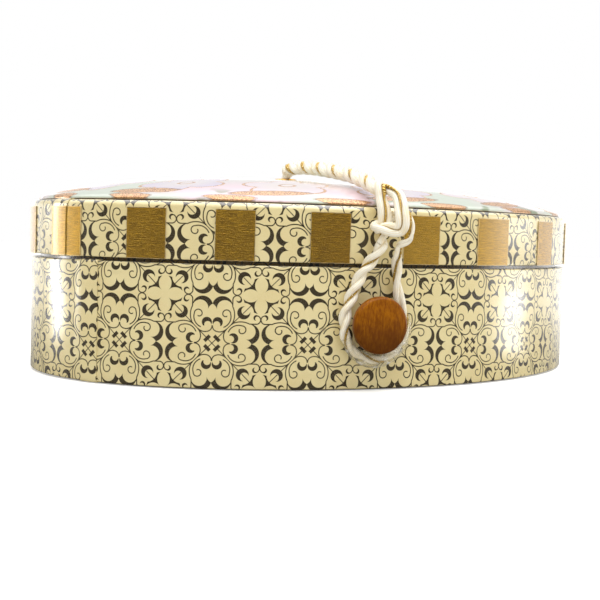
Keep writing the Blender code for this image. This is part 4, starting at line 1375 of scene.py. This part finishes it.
def add_cord():
    """The cord: lead, knot and loop as stretches of one cord, and the stopper knot. It gives back the loop's
    middle line for the film.
    """
    tree = twisted_cord_tree()
    # The satin's second colour is a painted golden shadow colour
    satin = satin_material("satin_strand", (255, 251, 236), (240, 208, 128), 0.30, 0.25)
    gold = gold_thread_material()
    lead, line, marks, gold_ways = whole_cord()
    facts = strand_facts(line, marks, gold_ways)
    one, two, three, four = marks

    ends = one + LEAD_SHARE, four - LEAD_SHARE
    lead_chains = [stretch_of(facts, 0, ends[0] + 1), stretch_of(facts, ends[1], len(line))]
    lead_piece = add_strands("lead_cord", lead_chains, tree, satin, gold)
    settle(lead_piece, "lid", "satin_cord", "cord_lead")
    knot_chains = [stretch_of(facts, ends[0], two + 1), stretch_of(facts, three, ends[1] + 1)]
    knot_piece = add_strands("knot_cord", knot_chains, tree, satin, gold)
    settle(knot_piece, "lid", "satin_cord", "loop_knot")
    loop_piece = add_strands("loop_cord", [stretch_of(facts, two, three + 1)], tree, satin, gold)
    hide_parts("cord_loop")
    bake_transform(loop_piece)

    stopper = stopper_line()
    stopper_facts = strand_facts(stopper, [1, 2, 3, 4])
    along = stopper_facts["along"]
    end = along[-1]
    thick = np.interp(along, [0.0, end - 0.004, end - 0.001, end], [0.86, 0.86, 0.95, 1.1]) / 1000.0
    stopper_facts["satin_radius"] = thick
    stopper_facts["satin_spread"] = thick * 0.9
    stopper_facts["turn"] = along * 2.0 * math.pi / 0.011
    stopper_piece = add_strands("stopper_cord", [stopper_facts], tree, satin, gold)
    settle(stopper_piece, "lid", "satin_cord", "stopper_knot")

    line[two : three + 1]
    return line[two : three + 1]


def add_film(loop):
    """Crumpled clear film left round the loop's lower part."""
    first = round(FILM_START * (len(loop) - 1))
    last = round(FILM_END * (len(loop) - 1))
    line = loop[first : last + 1 : 2]
    sides, fronts = frames_along(line, (0.0, -1.0, 0.0))
    bm = bmesh.new()
    outer, inside = [], []
    for rings, inner in ((outer, 0.0), (inside, FILM_SHEET)):
        for index, spot in enumerate(line):
            share = index / (len(line) - 1)
            fullness = FILM_REACH + 0.0003 * math.sin(math.pi * share)
            ring = []
            for step in range(FILM_SIDES):
                angle = 2.0 * math.pi * step / FILM_SIDES
                outward = sides[index] * math.cos(angle) + fronts[index] * math.sin(angle)
                seed = Vector(spot + outward * 0.0020) * 300.0
                fold = noise.ridged_multi_fractal(seed, 0.9, 2.2, 4, 0.95, 2.0) - 1.0
                reach = fullness + FILM_FOLD * fold - inner
                below = max(0.0, -outward[2]) * smooth_step(share, 0.0, 0.25) * smooth_step(share, 0.75, 0.45)
                reach = min(max(reach, 0.0015), 0.0027) + 0.0005 * float(below)
                if outward[1] > 0.2:
                    reach = min(reach, 0.0022)
                ring.append(bm.verts.new(tuple(spot + outward * reach)))
            rings.append(ring)
    skin_rings(bm, outer + inside[::-1], closed=True)
    mesh = closed_mesh("film_wrap", bm, 18.0)
    piece = add_mesh("film_wrap", mesh, film_material())
    settle(piece, "loop", "clear_film", "loop_film")


# Carried-over solids


def dress_solids(brass):
    """Materials for the model's own solids that stay."""
    board = board_material()
    lining = plain_paper("lining_paper", (232, 224, 202), (218, 206, 178), 0.72)
    base = plain_paper("base_paper", (132, 118, 92), (112, 98, 74), 0.8)
    steel = metal_material("screw_steel", (190, 190, 186), (150, 146, 136), 0.28)
    finishes = {
        board: ("base_board", "body_hoop", "neck_collar", "lid_hoop", "lid_board"),
        lining: ("body_lining", "floor_lining", "lid_wall_lining", "lid_lining"),
        base: ("base_cover",),
        steel: ("button_washer", "button_screw"),
        brass: ("cord_washer",),
    }
    for material, names in finishes.items():
        for name in names:
            nodes[name].data.materials.clear()
            nodes[name].data.materials.append(material)


# Floor and light


def add_floor():
    """A plain pale floor that keeps the box's shadow."""
    bm = bmesh.new()
    bmesh.ops.create_circle(bm, cap_ends=True, segments=64, radius=3.0)
    mesh = bpy.data.meshes.new("floor")
    bm.to_mesh(mesh)
    bm.free()
    material, graph, shader = new_material("floor", Roughness=0.9, Specular_IOR_Level=0.1)
    path = graph.add("ShaderNodeLightPath").outputs
    seen = Amount(graph, path["Is Camera Ray"])
    pale = graph.mix(seen, (0.70, 0.70, 0.70, 1.0), (1.0, 1.0, 1.0, 1.0))
    # In reflections the floor is painted dark towards the camera and glows bright beyond the box: a painted
    # reflection of a lit studio
    graph.feed(shader["Base Color"], graph.mix(path["Is Glossy Ray"], pale, (0.16, 0.15, 0.13, 1.0)))
    x, y, _ = graph.split(graph.here())
    _, _, forward = view_axes()
    far = graph.span(x * forward.x + y * forward.y, -0.10, 0.35)
    mirrored = Amount(graph, path["Is Glossy Ray"]) * far
    glow = graph.mix(seen, (0.0, 0.0, 0.0, 1.0), (0.34, 0.34, 0.34, 1.0))
    graph.feed(shader["Emission Color"], graph.mix(mirrored, glow, (1.35, 1.35, 1.35, 1.0)))
    shader["Emission Strength"].default_value = 1.0
    add_mesh("floor", mesh, material)


def add_lamp(name, target, direction, distance, size, power, fill=True):
    """A softbox that looks at a target; without fill it is seen only as a glare."""
    data = bpy.data.lights.new(name, "AREA")
    data.shape = "RECTANGLE"
    data.size, data.size_y = size
    data.energy = power
    lamp = bpy.data.objects.new(name, data)
    way = Vector(direction).normalized()
    lamp.location = Vector(target) + way * distance
    lamp.rotation_euler = (-way).to_track_quat("-Z", "Y").to_euler()
    lamp.visible_diffuse = fill
    bpy.context.scene.collection.objects.link(lamp)


def add_light():
    """A white studio: a softbox above, a tall light and a low card on each side, dark behind the camera."""
    middle = (0.0, 0.0, 0.04)
    add_lamp("lamp_above", middle, (0.10, -0.25, 1.0), 1.1, (1.0, 1.0), 7.8)
    for name, target, direction, distance, size, power in (
        ("lamp_right", middle, (0.930, -0.340, 0.10), 1.2, (0.40, 0.6), 2.4),
        ("lamp_left", middle, (-0.862, 0.505, 0.10), 1.2, (0.14, 0.6), 5.0),
        ("card_right", (0.050, -0.0686, 0.013), (0.956, -0.292, 0.0), 0.07, (0.026, 0.040), 0.017),
        ("card_left", (-0.1094, -0.022, 0.004), (-0.859, 0.503, 0.0), 0.12, (0.024, 0.056), 0.056),
    ):
        add_lamp(name, target, direction, distance, size, power, fill=False)
    world = bpy.data.worlds.new("studio")
    world.use_nodes = True
    bpy.context.scene.world = world
    graph = Graph(world.node_tree)
    path = graph.add("ShaderNodeLightPath").outputs
    seen, glossy, through = (
        Amount(graph, path[name]) for name in ("Is Camera Ray", "Is Glossy Ray", "Is Transmission Ray")
    )
    x, y, up = graph.split(graph.add("ShaderNodeTexCoord").outputs["Generated"])
    _, _, forward = view_axes()
    behind_box = x * forward.x + y * forward.y
    low = graph.span(behind_box, -0.60, 0.70, 0.10, 1.7)
    middle_sky = graph.span(behind_box, -0.70, 0.60, 0.10, 0.80)
    rising = graph.span(up, 0.10, 0.30)
    mirrored = low * (1.0 - rising) + middle_sky * rising + graph.span(up, 0.52, 0.80, 0.0, 2.6)
    soft = 0.86 * (1.0 - graph.both(seen, glossy, through))
    background = world.node_tree.nodes["Background"].inputs
    graph.feed(background["Strength"], soft + glossy * mirrored + graph.both(seen, through) * (1.0 - glossy))
    background["Color"].default_value = (1.0, 1.0, 1.0, 1.0)
    bpy.context.scene.view_settings.view_transform = "Standard"


def main():
    add_camera()
    loop = add_cord()
    add_film(loop)
    add_papers()
    add_foil_squares()
    add_picture_top()
    add_button()
    brass = metal_material("eyelet_brass", (186, 138, 48), (128, 88, 22), 0.25)
    add_eyelet(brass)
    dress_solids(brass)
    add_floor()
    add_light()


main()
